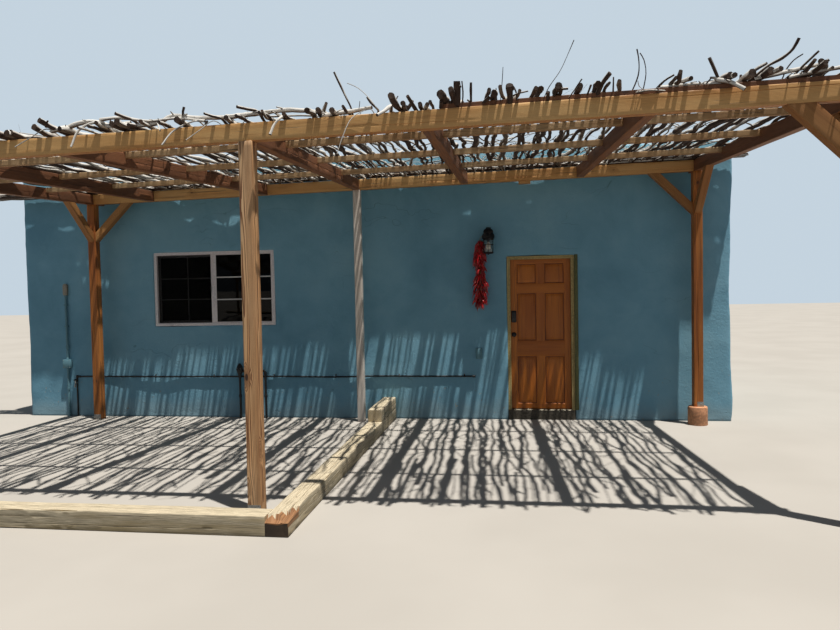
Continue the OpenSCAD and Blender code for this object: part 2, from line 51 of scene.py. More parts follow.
LEAF_X, LEAF_Y, LEAF_Z = LEFT + 7.19, FRONT + 0.06, 0.14
GAP, JAMB = 0.005, 0.033
BAY_L, BAY_R, SPLAY, RAM_D, WALL_GAP = 3.89, 4.38, 0.175, 3.7, 0.215
BEAM_Z, FALL, RAKE = 3.145, math.radians(3.0), math.radians(0.8)
BEAM_W, BEAM_H, POST_W, MID_POST_W = 0.09, 0.14, 0.114, 0.096
PURLIN_W, PURLIN_H, PURLIN_N, PURLIN_SPREAD, BRACE_W, BRACE_RUN = 0.042, 0.06, 3, 1.05, 0.089, 0.54
PIER_R, PIER_H = 0.12, 0.235
MID_X, ROW_Y = LEFT + 1.27 + BAY_L, FRONT - WALL_GAP
FRAME_D = RAM_D / math.cos(FALL)
SPAN_L, SPAN_R = BAY_L / math.cos(RAKE), BAY_R / math.cos(RAKE)
FRONT_R = SPAN_R + SPLAY
FRONT_ROW = ROW_Y - RAM_D
LEFT_POST, RIGHT_POST, FRONT_RIGHT_POST = MID_X - BAY_L, MID_X + BAY_R, MID_X + BAY_R + SPLAY
CANALE_X, CANALE_HALF, CANALE_T, CANALE_OUT = HOUSE_W / 2 - WIN_IN / 2, 0.09, 0.022, 0.42
CANALE_Z0, CANALE_Z1 = ROOF_TOP - CANALE_T, ROOF_TOP + 0.098

# ---------------------------------------------------------------- camera
F_PX, YAW, PITCH, ROLL = 648.1, math.radians(8.0), math.radians(-1.89), math.radians(-1.07)
EYE = Vector((2.192, -12.037, 1.731))
SHOT_W, SHOT_H, SENSOR = 840, 630, 36
_r0 = Vector((math.cos(YAW), math.sin(YAW), 0))
_f0 = Vector((-math.sin(YAW), math.cos(YAW), 0))
AHEAD = math.cos(PITCH) * _f0 + math.sin(PITCH) * Vector((0, 0, 1))
_up = -math.sin(PITCH) * _f0 + math.cos(PITCH) * Vector((0, 0, 1))
SIDE = math.cos(ROLL) * _r0 + math.sin(ROLL) * _up
UP = -math.sin(ROLL) * _r0 + math.cos(ROLL) * _up

cam = bpy.data.objects.new("camera", bpy.data.cameras.new("camera"))
bpy.context.scene.collection.objects.link(cam)
cam.matrix_world = Matrix.Translation(EYE) @ Matrix((SIDE, UP, -AHEAD)).transposed().to_4x4()
cam.data.sensor_width = SENSOR
cam.data.sensor_fit = "HORIZONTAL"
cam.data.lens = F_PX * SENSOR / SHOT_W
cam.data.clip_end = 400
bpy.context.scene.camera = cam


def at_px(px, py, y):
    """The point in the upright plane at y that shows at this place in the frame."""
    ray = AHEAD + SIDE * ((px - SHOT_W / 2) / F_PX) - UP * ((py - SHOT_H / 2) / F_PX)
    return EYE + ray * ((y - EYE.y) / ray.y)


# ---------------------------------------------------------------- mesh helpers
# One turn, for shapes and for waves
TURN, PERIOD = 6.28318, 6.283
# These turn an upright form so that its top points the way that is named
FACING = {"-Y": Matrix.Rotation(math.pi / 2, 4, "X"), "+Y": Matrix.Rotation(-math.pi / 2, 4, "X"),
          "-X": Matrix.Rotation(-math.pi / 2, 4, "Y"), "+X": Matrix.Rotation(math.pi / 2, 4, "Y")}


def waves(seed, count, low, high, power=1.0):
    """A smooth field: returns f(points) made of seeded sine waves between two wavelengths."""
    r = np.random.default_rng(seed)
    k = r.normal(size=(count, 3))
    k /= np.linalg.norm(k, axis=1)[:, None]
    size = np.exp(r.uniform(math.log(low), math.log(high), count))
    phase = r.uniform(0, PERIOD, count)
    amp = size ** power
    amp /= math.sqrt((amp ** 2).sum() / 2)

    def field(p):
        p = np.asarray(p, float)
        return np.sin(p @ (k * (PERIOD / size)[:, None]).T + phase) @ amp
    return field


def wob(t, seed, low, high):
    """The same along a line."""
    t = np.asarray(t, float)
    return waves(seed, 6, low, high)(np.stack([t, 0 * t, 0 * t], -1)) / 1.4


class Build:
    """Collects the vertices, faces and grain coordinates of one piece."""

    def __init__(self):
        self.verts, self.grain, self.faces, self.mats, self.count = [], [], [], [], 0

    def add(self, verts, faces, grain=None, mat=0):
        """mat is one material number, or a list with one for each face."""
        verts = np.asarray(verts, float).reshape(-1, 3)
        self.verts.append(verts)
        self.grain.append(verts if grain is None else np.asarray(grain, float).reshape(-1, 3))
        n = self.count
        self.faces += [tuple(i + n for i in f) for f in faces]
        self.mats += mat if isinstance(mat, list) else [mat] * len(faces)
        self.count += len(verts)

    def make(self, name, mats, slot, replaces=(), body="house", sharp=35, turn_out=False):
        mesh = bpy.data.meshes.new(name)
        points = np.concatenate(self.verts)
        points[:, 2] = np.maximum(points[:, 2], 0)
        mesh.from_pydata(points.tolist(), [], self.faces)
        for m in mats:
            mesh.materials.append(m)
        mesh.polygons.foreach_set("material_index", self.mats)
        grain = mesh.attributes.new("grain", "FLOAT_VECTOR", "POINT")
        grain.data.foreach_set("vector", np.concatenate(self.grain).astype(np.float32).ravel())
        if turn_out:
            work = bmesh.new()
            work.from_mesh(mesh)
            bmesh.ops.recalc_face_normals(work, faces=work.faces)
            work.to_mesh(mesh)
            work.free()
        mesh.polygons.foreach_set("use_smooth", [True] * len(mesh.polygons))
        mesh.set_sharp_from_angle(angle=math.radians(sharp))
        mesh.validate()
        obj = bpy.data.objects.new(name, mesh)
        bpy.context.scene.collection.objects.link(obj)
        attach(obj, body)
        if replaces:
            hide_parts(*replaces)
        return obj


def strip(m, n, flip=False):
    """Quads of m rings of n points each."""
    out = []
    for j in range(m - 1):
        for i in range(n):
            a, b = j * n + i, j * n + (i + 1) % n
            out.append((a, b, b + n, a + n) if flip else (a, a + n, b + n, b))
    return out


def closed(m, n):
    """Quads of m rings of n points each, with the last ring joined to the first."""
    out = []
    for j in range(m):
        for i in range(n):
            a, b = j * n + i, j * n + (i + 1) % n
            out.append((a, (a + n) % (m * n), (b + n) % (m * n), b))
    return out


def ease(t):
    t = np.clip(t, 0, 1)
    return t * t * (3 - 2 * t)


def timber(build, ends, seed, mat=0, arris=0.005, rough=0.001, step=0.09, checks=(), pith=None, wane=0.0):
    """A sawn timber between two quadrilaterals, with eased arrises, saw waves and drying checks.

    ends: two lists of 4 corners, in the same order round. checks: (side, place, depth, from, to)."""
    a, b = (np.array([tuple(c) for c in e], float) for e in ends)
    w = np.linalg.norm(a[1] - a[0])
    h = np.linalg.norm(a[3] - a[0])
    long = np.linalg.norm((b - a).mean(0))
    r = random.Random(seed)
    s, t, out, tag = [], [], [], []
    corners = [(0, 0), (1, 0), (1, 1), (0, 1)]
    for k in range(4):
        c0, c1 = corners[k], corners[(k + 1) % 4]
        run = w if k % 2 == 0 else h
        places = [(arris / run) * 0.3, arris / run, 0.25, 0.5, 0.75, 1 - arris / run, 1 - (arris / run) * 0.3]
        cracks = {}
        for c in checks:
            if c[0] == k:
                half = 0.0035 / run
                for d, e in ((-half, 0), (0, c), (half, 0)):
                    places.append(c[1] + d)
                    cracks[c[1] + d] = e
        for place in sorted(places):
            x = c0[0] + (c1[0] - c0[0]) * place
            y = c0[1] + (c1[1] - c0[1]) * place
            s.append(x)
            t.append(y)
            out.append(((0, -1), (1, 0), (0, 1), (-1, 0))[k])
            edge = min(place, 1 - place) * run
            tag.append((k, place, max(0, 1 - edge / arris), cracks.get(place, 0)))
    s, t, out = np.array(s), np.array(t), np.array(out, float)
    n = len(s)
    rings = max(4, int(long / step) + 1)
    tip, inner = min(0.3, arris * 0.6 / long), min(0.4, 0.02 / long * 2)
    f = np.concatenate([[0, tip], np.linspace(inner, 1 - inner, rings), [1 - tip, 1]])
    m = len(f)
    pull = np.zeros((m, n))
    near = np.array([g[2] for g in tag])
    pull += (near ** 2)[None, :] * arris * 0.3
    pull[0] += arris * 0.35
    pull[-1] += arris * 0.35
    u = f * long
    for k in range(4):
        on = np.array([g[0] == k for g in tag])
        drift = wob(u, seed * 5 + k, 0.25, 1.6) * rough + wob(u, seed * 5 + k + 90, 0.05, 0.2) * rough * 0.3
        cup = np.array([math.cos((g[1] - 0.5) * 3.1) for g in tag])
        pull += np.where(on, 1, 0)[None, :] * (drift[:, None] * (0.4 + 0.6 * cup[None, :]))
        if wane:
            chew = np.clip(wob(u, seed * 7 + k, 0.08, 0.5) - 0.2, 0, 2) * wane
            pull += np.where(on, near, 0)[None, :] * chew[:, None]
    shift = np.zeros((m, n))
    for i, g in enumerate(tag):
        if g[3]:
            _, _, deep, start, end = g[3]
            share = ease((f - start) / 0.08) * ease((end - f) / 0.08)
            pull[:, i] += deep * share * (0.75 + 0.25 * wob(u, seed + i, 0.05, 0.3))
    for c in checks:
        for i, g in enumerate(tag):
            if g[0] == c[0] and abs(g[1] - c[1]) < 0.08:
                shift[:, i] += wob(u, seed + 31, 0.3, 1.5) * 0.004
    base = [a[k][None, None, :] + (b[k] - a[k])[None, None, :] * f[:, None, None] for k in range(4)]
    ex = (a[1] - a[0]) / w
    ey = (a[3] - a[0]) / h
    p = ((1 - s) * (1 - t))[None, :, None] * base[0] + (s * (1 - t))[None, :, None] * base[1] \
        + (s * t)[None, :, None] * base[2] + ((1 - s) * t)[None, :, None] * base[3]
    nx, ny = out[:, 0], out[:, 1]
    # On an arris a point is drawn in along both its faces' normals
    diag_x = np.where(near > 0, np.sign(s - 0.5), nx)
    diag_y = np.where(near > 0, np.sign(t - 0.5), ny)
    p -= pull[..., None] * (diag_x[None, :, None] * ex + diag_y[None, :, None] * ey)
    p += shift[..., None] * ((ny == 0)[None, :, None] * ey + (nx == 0)[None, :, None] * ex)
    pith = pith or (r.uniform(-0.06, 0.06), r.choice([-1, 1]) * r.uniform(0.03, 0.12))
    grain = np.zeros((m, n, 3))
    grain[..., 0] = u[:, None] + seed * 3.71
    grain[..., 1] = ((s - 0.5) * w)[None, :] + pith[0]
    grain[..., 2] = ((t - 0.5) * h)[None, :] + pith[1]
    right = np.linalg.det(np.array([ex, ey, (b - a).mean(0) / long])) > 0
    build.add(p, strip(m, n, flip=right), grain, mat)
    for j, way in ((0, not right), (m - 1, right)):
        centre = p[j].mean(0)
        g = grain[j].mean(0)
        fan = [(0, i + 1, (i + 1) % n + 1) if way else (0, (i + 1) % n + 1, i + 1) for i in range(n)]
        build.add(np.vstack([centre, p[j]]), fan, np.vstack([g, grain[j]]), mat)


def box_ends(lo, hi, axis=0):
    """The two ends of an upright box, along one axis."""
    (x0, y0, z0), (x1, y1, z1) = lo, hi
    if axis == 0:
        return [[(x, y0, z0), (x, y1, z0), (x, y1, z1), (x, y0, z1)] for x in (x0, x1)]
    if axis == 1:
        return [[(x0, y, z0), (x1, y, z0), (x1, y, z1), (x0, y, z1)] for y in (y0, y1)]
    return [[(x0, y0, z), (x1, y0, z), (x1, y1, z), (x0, y1, z)] for z in (z0, z1)]


def block(build, lo, hi, arris=0.003, mat=0, move=None):
    """A plain box with eased edges."""
    (x0, y0, z0), (x1, y1, z1) = lo, hi
    a = min(arris, (x1 - x0) * 0.45, (y1 - y0) * 0.45, (z1 - z0) * 0.45)
    loop = []
    for sx, sy in ((0, 0), (1, 0), (1, 1), (0, 1)):
        for turn in range(4):
            ang = math.radians({(0, 0): 180, (1, 0): 270, (1, 1): 0, (0, 1): 90}[(sx, sy)] + turn * 30)
            loop.append((sx, sy, math.cos(ang), math.sin(ang)))
    rings = []
    for z, grow in ((z0, -a), (z0 + a * 0.3, -a * 0.3), (z0 + a, 0), (z1 - a, 0), (z1 - a * 0.3, -a * 0.3), (z1, -a)):
        for sx, sy, c, s in loop:
            cx = x1 - a if sx else x0 + a
            cy = y1 - a if sy else y0 + a
            rings.append((cx + c * (a + grow), cy + s * (a + grow), z))
    n = len(loop)
    p = np.array(rings)
    if move is not None:
        p = np.array([tuple(move @ Vector(q)) for q in p])
    faces = strip(6, n, flip=True) + [tuple(reversed(range(n))), tuple(range(5 * n, 6 * n))]
    build.add(p, faces, None, mat)


def lathe(build, profile, move=Matrix(), n=32, mat=0, caps=True):
    """Turns (radius, height) pairs about Z, from the foot to the top; open ends are capped."""
    pts = []
    for r, z in profile:
        for i in range(n):
            a = TURN * i / n
            pts.append((r * math.cos(a), r * math.sin(a), z))
    p = np.array([tuple(move @ Vector(q)) for q in pts])
    faces = strip(len(profile), n, flip=True)
    if caps and profile[0][0] > 1e-6:
        faces.append(tuple(reversed(range(n))))
    if caps and profile[-1][0] > 1e-6:
        faces.append(tuple(range((len(profile) - 1) * n, len(profile) * n)))
    build.add(p, faces, None, mat)


def smooth_path(points, step):
    """A Catmull-Rom line through the points, at about even steps."""
    p = np.array([tuple(q) for q in points], float)
    p = np.vstack([2 * p[0] - p[1], p, 2 * p[-1] - p[-2]])
    out = []
    for i in range(1, len(p) - 2):
        n = max(1, int(np.linalg.norm(p[i + 1] - p[i]) / step + 0.5))
        for t in np.arange(n) / n:
            out.append(0.5 * (2 * p[i] + (p[i + 1] - p[i - 1]) * t
                              + (2 * p[i - 1] - 5 * p[i] + 4 * p[i + 1] - p[i + 2]) * t * t
                              + (3 * p[i] - p[i - 1] - 3 * p[i + 1] + p[i + 2]) * t ** 3))
    out.append(p[-2])
    return np.array(out)


def tube(build, path, radii, sides=8, mat=0, cut=None, seed=0, knobs=0.0, squash=1.0):
    """A round bar along a path. cut is the material of its flat ends; grain runs along it."""
    path = np.asarray(path, float)
    n = len(path)
    radii = np.broadcast_to(np.asarray(radii, float), (n,))
    along = np.gradient(path, axis=0)
    along /= np.linalg.norm(along, axis=1)[:, None] + 1e-12
    side = np.cross(along[0], (0.3, 0.2, 1.0))
    side /= np.linalg.norm(side)
    sides_at = []
    for t in along:
        side = side - t * (side @ t)
        side /= np.linalg.norm(side)
        sides_at.append(side)
    sides_at = np.array(sides_at)
    other = np.cross(along, sides_at)
    ang = np.arange(sides) * TURN / sides
    u = np.concatenate([[0], np.cumsum(np.linalg.norm(np.diff(path, axis=0), axis=1))])
    r = np.repeat(radii[:, None], sides, 1)
    if knobs:
        local = np.stack([np.repeat(u[:, None], sides, 1), np.cos(ang)[None, :] * 0.05 + 0 * u[:, None],
                          np.sin(ang)[None, :] * 0.05 + 0 * u[:, None]], -1)
        r = r * (1 + knobs * waves(seed + 5, 7, 0.06, 0.22)(local) / 1.6)
    p = path[:, None, :] + r[..., None] * (np.cos(ang)[None, :, None] * sides_at[:, None, :]
                                           + squash * np.sin(ang)[None, :, None] * other[:, None, :])
    grain = np.stack([np.repeat((u + seed * 1.37)[:, None], sides, 1), r * np.cos(ang)[None, :],
                      r * np.sin(ang)[None, :]], -1)
    build.add(p, strip(n, sides, flip=True), grain, mat)
    for j, way in ((0, True), (n - 1, False)):
        ring = list(range(sides))
        build.add(p[j], [tuple(reversed(ring)) if way else tuple(ring)], grain[j], mat if cut is None else cut)


# ---------------------------------------------------------------- materials
def rgb(text):
    """sRGB hex to the linear colour that a shader takes."""
    c = [int(text[i:i + 2], 16) / 255 for i in (0, 2, 4)]
    return tuple(x / 12.92 if x <= 0.04045 else ((x + 0.055) / 1.055) ** 2.4 for x in c) + (1.0,)


class Shade:
    """A small helper that writes one procedural material."""

    def __init__(self, name, **principled):
        self.mat = bpy.data.materials.new(name)
        self.mat.use_nodes = True
        self.tree = self.mat.node_tree
        self.tree.nodes.clear()
        out = self.tree.nodes.new("ShaderNodeOutputMaterial")
        self.bsdf = self.node("BsdfPrincipled", **principled)
        self.tree.links.new(self.bsdf.outputs[0], out.inputs[0])

    def put(self, node, name, value):
        socket = node.inputs[name]
        if isinstance(value, bpy.types.NodeSocket):
            self.tree.links.new(value, socket)
        else:
            socket.default_value = value

    def node(self, kind, settings=None, **inputs):
        node = self.tree.nodes.new("ShaderNode" + kind)
        for k, v in (settings or {}).items():
            setattr(node, k, v)
        for k, v in inputs.items():
            self.put(node, k.replace("_", " "), v)
        return node

    def set(self, **inputs):
        for k, v in inputs.items():
            self.put(self.bsdf, k.replace("_", " "), v)
        return self.mat

    def object(self):
        return self.node("TexCoord").outputs["Object"]

    def grain(self):
        return self.node("Attribute", {"attribute_name": "grain"}).outputs["Vector"]

    def normal_z(self):
        return self.node("SeparateXYZ", Vector=self.node("NewGeometry").outputs["Normal"]).outputs["Z"]

    def place(self, vector, scale=(1, 1, 1), shift=(0, 0, 0)):
        return self.node("Mapping", Vector=vector, Scale=scale, Location=shift).outputs[0]

    def noise(self, vector, scale, detail=4, rough=0.55):
        return self.node("TexNoise", Vector=vector, Scale=scale, Detail=detail, Roughness=rough).outputs["Fac"]

    def math(self, kind, a, b=0.0, clamp=False):
        node = self.node("Math", {"operation": kind, "use_clamp": clamp})
        self.put(node, 0, a)
        self.put(node, 1, b)
        return node.outputs[0]

    def add(self, a, b, clamp=False):
        return self.math("ADD", a, b, clamp)

    def mul(self, a, b, clamp=False):
        return self.math("MULTIPLY", a, b, clamp)

    def sub(self, a, b):
        return self.math("SUBTRACT", a, b)

    def warp(self, offset, amount, base):
        """base + offset * amount, for vectors."""
        node = self.node("VectorMath", {"operation": "MULTIPLY_ADD"})
        for i, v in enumerate((offset, amount, base)):
            self.put(node, i, v)
        return node.outputs[0]

    def ramp(self, fac, *stops):
        node = self.node("ValToRGB", Fac=fac)
        ramp = node.color_ramp
        while len(ramp.elements) < len(stops):
            ramp.elements.new(0.5)
        for e, (at, colour) in zip(ramp.elements, stops):
            e.position = at
            e.color = rgb(colour)
        return node.outputs[0]

    def step(self, fac, low, high):
        return self.node("MapRange", {"interpolation_type": "SMOOTHSTEP"}, Value=fac, From_Min=low,
                         From_Max=high).outputs[0]

    def mix(self, fac, a, b):
        node = self.node("Mix", {"data_type": "RGBA"})
        for i, v in ((0, fac), (6, a), (7, b)):
            self.put(node, i, rgb(v) if isinstance(v, str) else v)
        return node.outputs[2]

    def bump(self, height, distance):
        return self.node("Bump", Height=height, Distance=distance, Strength=1.0).outputs[0]


def plain(name, colour, rough=0.5, metal=0.0, speckle=120.0, vary=0.08, bump=0.0002, dirt=0.25, rust=None,
          rust_at=0.62):
    """A painted, moulded or metal finish: small value changes, grime in broad soft patches."""
    s = Shade(name, Metallic=metal)
    o = s.object()
    c = rgb(colour)
    dark = tuple(x * (1 - dirt) for x in c[:3]) + (1,)
    lit = tuple(min(1, x * (1 + vary)) for x in c[:3]) + (1,)
    broad = s.step(s.noise(o, 3.1, 5, 0.6), 0.35, 0.7)
    base = s.mix(broad, dark, c)
    base = s.mix(s.step(s.noise(o, speckle, 3), 0.4, 0.65), base, lit)
    r = s.add(s.mul(s.noise(o, speckle * 0.4, 3), 0.2), rough - 0.1)
    if rust:
        spot = s.step(s.add(s.noise(o, 11, 6, 0.7), s.mul(s.noise(o, 70, 3), 0.12)), rust_at, rust_at + 0.07)
        base = s.mix(spot, base, rust)
    return s.set(Base_Color=base, Roughness=r, Normal=s.bump(s.noise(o, speckle * 2, 2), bump))


def wood(name, light, dark, line, painted_underside=None, grey_sunlit_top=None, bleach_and_sunlit_top=0.0, rough=0.62, rings=42.0, knots=1.0, cracks=1.0,
         gloss=0.0, figure=0.6):
    """Sawn timber. Growth rings run round the grain axis, with knots and fissures. Upward faces turn grey, partly
    real sun bleaching and partly painted sunlight; downward faces take painted light and shade.
    """
    s = Shade(name, Coat_Weight=gloss, Coat_Roughness=0.25)
    g = s.grain()
    slow = s.noise(s.place(g, (0.7, 4, 4)), 1.0, 3, 0.5)
    drift = s.node("TexNoise", Vector=s.place(g, (0.8, 4, 4)), Scale=1.0, Detail=2.0).outputs["Color"]
    bend = s.warp(drift, (0.0, 0.05, 0.05), g)
    cell = s.node("TexVoronoi", {"feature": "F1"}, Vector=s.place(g, (3.4, 7, 7)), Scale=1.0, Randomness=1.0)
    knot_d = s.add(cell.outputs["Distance"], s.mul(s.noise(g, 50, 3), 0.05))
    pick = s.math("GREATER_THAN", s.node("SeparateXYZ", Vector=cell.outputs["Color"]).outputs[0], 0.78)
    knot = s.mul(s.sub(1.0, s.step(knot_d, 0.09, 0.15)), s.mul(pick, knots))
    halo = s.mul(s.sub(1.0, s.step(knot_d, 0.1, 0.5)), s.mul(pick, knots))
    swirl = s.warp(s.node("CombineXYZ", X=0.0, Y=halo, Z=halo).outputs[0], (0, 0.03, 0.024), bend)
    wave = s.node("TexWave", {"wave_type": "RINGS", "rings_direction": "X", "wave_profile": "SAW"},
                  Vector=s.place(swirl, (0.0, 1, 1)), Scale=rings, Distortion=1.6, Detail=2.0,
                  Detail_Scale=1.5).outputs["Fac"]
    wide = s.noise(s.place(g, (1.1, 20, 20)), 1.0, 5, 0.62)
    fine = s.noise(s.place(g, (2.5, 70, 70)), 1.0, 4, 0.65)
    fibre = s.noise(s.place(g, (7, 420, 420)), 1.0, 4, 0.7)
    base = s.mix(s.step(slow, 0.3, 0.7), dark, light)
    base = s.mix(s.mul(s.step(wave, 0.35, 0.95), figure), base, line)
    base = s.mix(s.mul(s.step(wide, 0.5, 0.72), 0.55), base, line)
    base = s.mix(s.mul(s.step(fine, 0.45, 0.72), 0.4), base, dark)
    base = s.mix(s.mul(s.step(fibre, 0.5, 0.8), 0.3), base, line)
    base = s.mix(s.mul(halo, 0.35), base, line)
    base = s.mix(s.mul(knot, 0.85), base, "3a2012")
    nz = s.normal_z()
    # Painted sunlight, partly real bleaching: upward faces are mixed toward the grey colour
    if grey_sunlit_top:
        weather_and_sunlight = s.add(s.mul(s.noise(s.place(g, (1.2, 16, 16)), 1.0, 5, 0.65), 1.6), nz)
        worn = s.step(weather_and_sunlight, 1.35 - bleach_and_sunlit_top, 1.9 - bleach_and_sunlit_top)
        base = s.mix(worn, base, s.mix(s.step(fibre, 0.3, 0.75), grey_sunlit_top, line))
    # Painted light and shade on downward faces: more orange on the rafters, darker on the beams, purlins and braces
    if painted_underside:
        under = s.step(s.mul(nz, -1.0), 0.5, 0.9)
        base = s.mix(s.mul(under, 0.8), base, s.mix(s.step(fine, 0.35, 0.7), painted_underside, dark))
    split = s.step(s.noise(s.place(g, (1.1, 75, 75), (3, 5, 7)), 1.0, 2, 0.4), 0.715, 0.75)
    base = s.mix(s.mul(split, 0.8 * cracks, True), base, "1e120b")
    height = s.sub(s.add(s.mul(fibre, 0.5), s.mul(wave, 0.25)), s.mul(split, 1.5 * cracks))
    r = s.add(s.mul(fibre, 0.25), rough - 0.12)
    return s.set(Base_Color=base, Roughness=r, Normal=s.bump(height, 0.0014))


def bark(name, dark, mid, pale, bleach_and_sunlit_top=0.0, cut=False):
    """Branch bark, pale on top and dark below, partly real bleaching and partly painted sunlight on top and painted
    shade below; or the weathered cut end of a branch.
    """
    s = Shade(name)
    g = s.grain()
    nz = s.normal_z()
    fissure = s.noise(s.place(g, (6, 130, 130)), 1.0, 5, 0.7)
    patch = s.noise(s.place(g, (2.4, 13, 13)), 1.0, 4, 0.6)
    if cut:
        wave = s.node("TexWave", {"wave_type": "RINGS", "rings_direction": "X"}, Vector=s.place(g, (0, 1, 1)),
                      Scale=90.0, Distortion=2.0, Detail=2.0).outputs["Fac"]
        base = s.mix(s.step(wave, 0.3, 0.8), mid, dark)
        base = s.mix(s.step(patch, 0.35, 0.65), base, dark)
        return s.set(Base_Color=base, Roughness=0.85, Normal=s.bump(wave, 0.001))
    tone = s.noise(s.place(g, (0.05, 0, 0)), 1.0, 1, 0.5)
    base = s.mix(s.step(fissure, 0.35, 0.7), dark, mid)
    # Painted light: upward faces turn pale and downward faces stay dark, partly real bleaching, partly painted
    # sunlight and shade
    top = s.add(nz, s.mul(s.sub(patch, 0.5), 1.4))
    top = s.add(top, s.mul(s.sub(tone, 0.5), 0.9))
    bleached_sunlit_peel = s.mix(s.step(fissure, 0.22, 0.5), mid, pale)
    bleached_sunlit_peel = s.mix(s.step(s.noise(s.place(g, (5, 40, 40)), 1.0, 3, 0.6), 0.5, 0.8), bleached_sunlit_peel, "ece8e1")
    base = s.mix(s.step(s.add(top, bleach_and_sunlit_top), 0.05, 0.5), base, bleached_sunlit_peel)
    base = s.mix(s.mul(s.step(s.noise(s.place(g, (22, 60, 60)), 1.0, 3, 0.6), 0.6, 0.7), 0.5), base, dark)
    return s.set(Base_Color=base, Roughness=0.82, Normal=s.bump(fissure, 0.004))


def stucco(name, deep, mid, pale, sand=1.0, worn="b9b2a0"):
    """Hand-trowelled, painted mud render: blotches, trowel sweeps, fine sand, hairline cracks and chips."""
    s = Shade(name)
    o = s.object()
    z = s.node("SeparateXYZ", Vector=o).outputs["Z"]
    w = s.warp(s.node("TexNoise", Vector=o, Scale=0.8, Detail=3.0).outputs["Color"], (0.7, 0.7, 0.7), o)
    blotch = s.noise(w, 0.6, 5, 0.52)
    cloud = s.noise(w, 2.6, 5, 0.58)
    sweep = s.noise(s.place(w, (1.1, 1.1, 1.7)), 2.4, 5, 0.6)
    grit = s.noise(o, 260, 2, 0.6)
    lumps = s.noise(o, 30, 4, 0.6)
    base = s.ramp(s.add(s.mul(blotch, 0.6), s.mul(cloud, 0.4)), (0.28, deep), (0.52, mid), (0.78, pale))
    base = s.mix(s.mul(s.step(sweep, 0.52, 0.72), 0.16), base, pale)
    base = s.mix(s.mul(s.step(s.sub(1.0, sweep), 0.55, 0.72), 0.12), base, deep)
    base = s.mix(s.mul(s.step(grit, 0.5, 0.75), 0.16), base, pale)
    base = s.mix(s.mul(s.step(lumps, 0.56, 0.74), 0.12), base, deep)
    # Dust and bare render at the foot
    low = s.sub(1.0, s.step(s.add(z, s.mul(cloud, -0.35)), -0.14, 0.16))
    base = s.mix(s.mul(low, 0.25), base, worn)
    chip = s.mul(s.step(s.noise(o, 15, 4, 0.65), 0.655, 0.675), s.sub(1.0, s.step(z, 0.1, 0.9)))
    base = s.mix(s.mul(chip, 0.8), base, worn)
    line = s.math("ABSOLUTE", s.sub(s.noise(s.place(w, (0.7, 0.7, 2.0)), 1.3, 3, 0.5), 0.5))
    crack = s.mul(s.sub(1.0, s.step(line, 0.0, 0.0022)), s.step(s.noise(o, 1.1, 2), 0.54, 0.6))
    base = s.mix(s.mul(crack, 0.35), base, "1d3840")
    height = s.add(s.mul(grit, 0.2 * sand), s.add(s.mul(lumps, 0.5), s.mul(sweep, 0.8)))
    height = s.sub(height, s.add(s.mul(crack, 0.4), s.mul(chip, 0.5)))
    return s.set(Base_Color=base, Roughness=0.9, Normal=s.bump(height, 0.006))


def pod_skin():
    """Dried chile skin: every pod has its own red, with painted shade darkening the creases."""
    s = Shade("chile_skin", Coat_Weight=0.35, Coat_Roughness=0.15)
    g = s.grain()
    tone = s.noise(s.place(g, (0.73, 0, 0)), 1.0, 0, 0.5)
    crease = s.noise(s.place(g, (60, 160, 160)), 1.0, 4, 0.6)
    base = s.ramp(tone, (0.34, "3c0408"), (0.45, "86090f"), (0.54, "cc1b1e"), (0.66, "f04a44"))
    # Painted shade: the creases are darkened in colour
    base = s.mix(s.mul(s.step(crease, 0.45, 0.75), 0.5), base, "3a0507")
    return s.set(Base_Color=base, Roughness=s.add(s.mul(crease, 0.2), 0.2), Normal=s.bump(crease, 0.002))


def pane(name, tint, rough, ior):
    """Clear or tinted glass with a faint film of dust."""
    s = Shade(name, IOR=ior, Transmission_Weight=1.0)
    dust = s.step(s.noise(s.object(), 2.6, 5, 0.65), 0.4, 0.8)
    soft = s.mix(s.mul(dust, 0.15), tint, "aab4b2")
    return s.set(Base_Color=soft, Roughness=s.add(s.mul(dust, 0.04), rough))


def tune(material, **inputs):
    """Sets plain values on a finished material's shader."""
    for k, v in inputs.items():
        material.node_tree.nodes["Principled BSDF"].inputs[k.replace("_", " ")].default_value = v
    return material


STUCCO = stucco("painted_stucco", "6ca1b9", "86bcd2", "9ecfe0")
ROOM_WALL = stucco("room_plaster", "cfc7b6", "dbd4c5", "e6e1d6", 0.6, "c4bba8")
TIMBER = wood("sawn_timber", "f8ca86", "e5a760", "a3642c", painted_underside="b8662f", grey_sunlit_top="d9c4a2", bleach_and_sunlit_top=0.12)
PURLIN = wood("purlin_timber", "e6c79a", "cda474", "8f6238", painted_underside="a9672f", grey_sunlit_top="ddcdb2", bleach_and_sunlit_top=0.3)
POST = wood("post_timber", "f6cb9a", "dda66f", "744222", grey_sunlit_top="e4d2b6", bleach_and_sunlit_top=0.3, knots=1.4, cracks=1.3,
            figure=0.95)
# Near white: partly real bleached wood, partly painted sunlight for this post's lit look
PALE_POST = wood("pale_post_timber", "faf3ea", "e6d9ca", "b3a08c", grey_sunlit_top="f4eee4", bleach_and_sunlit_top=0.7, cracks=1.0)
RED_POST = wood("red_post_timber", "d88c44", "ac6224", "5e3010", grey_sunlit_top="c4966a", bleach_and_sunlit_top=0.05, rings=30.0)
RED_TIMBER = wood("stained_timber", "966240", "6c4429", "402414", painted_underside="a5662f", grey_sunlit_top="a98a6c", bleach_and_sunlit_top=-0.05)
BRACE_WOOD = wood("brace_timber", "d09a5c", "a46c36", "633a1a", painted_underside="b0692c", grey_sunlit_top="bd9a72", bleach_and_sunlit_top=0.0)
OLD_TIMBER = wood("weathered_timber", "d8c39c", "b4a077", "63563f", grey_sunlit_top="ecdcbc", bleach_and_sunlit_top=0.9, knots=0.7, cracks=1.2,
                  rough=0.8)
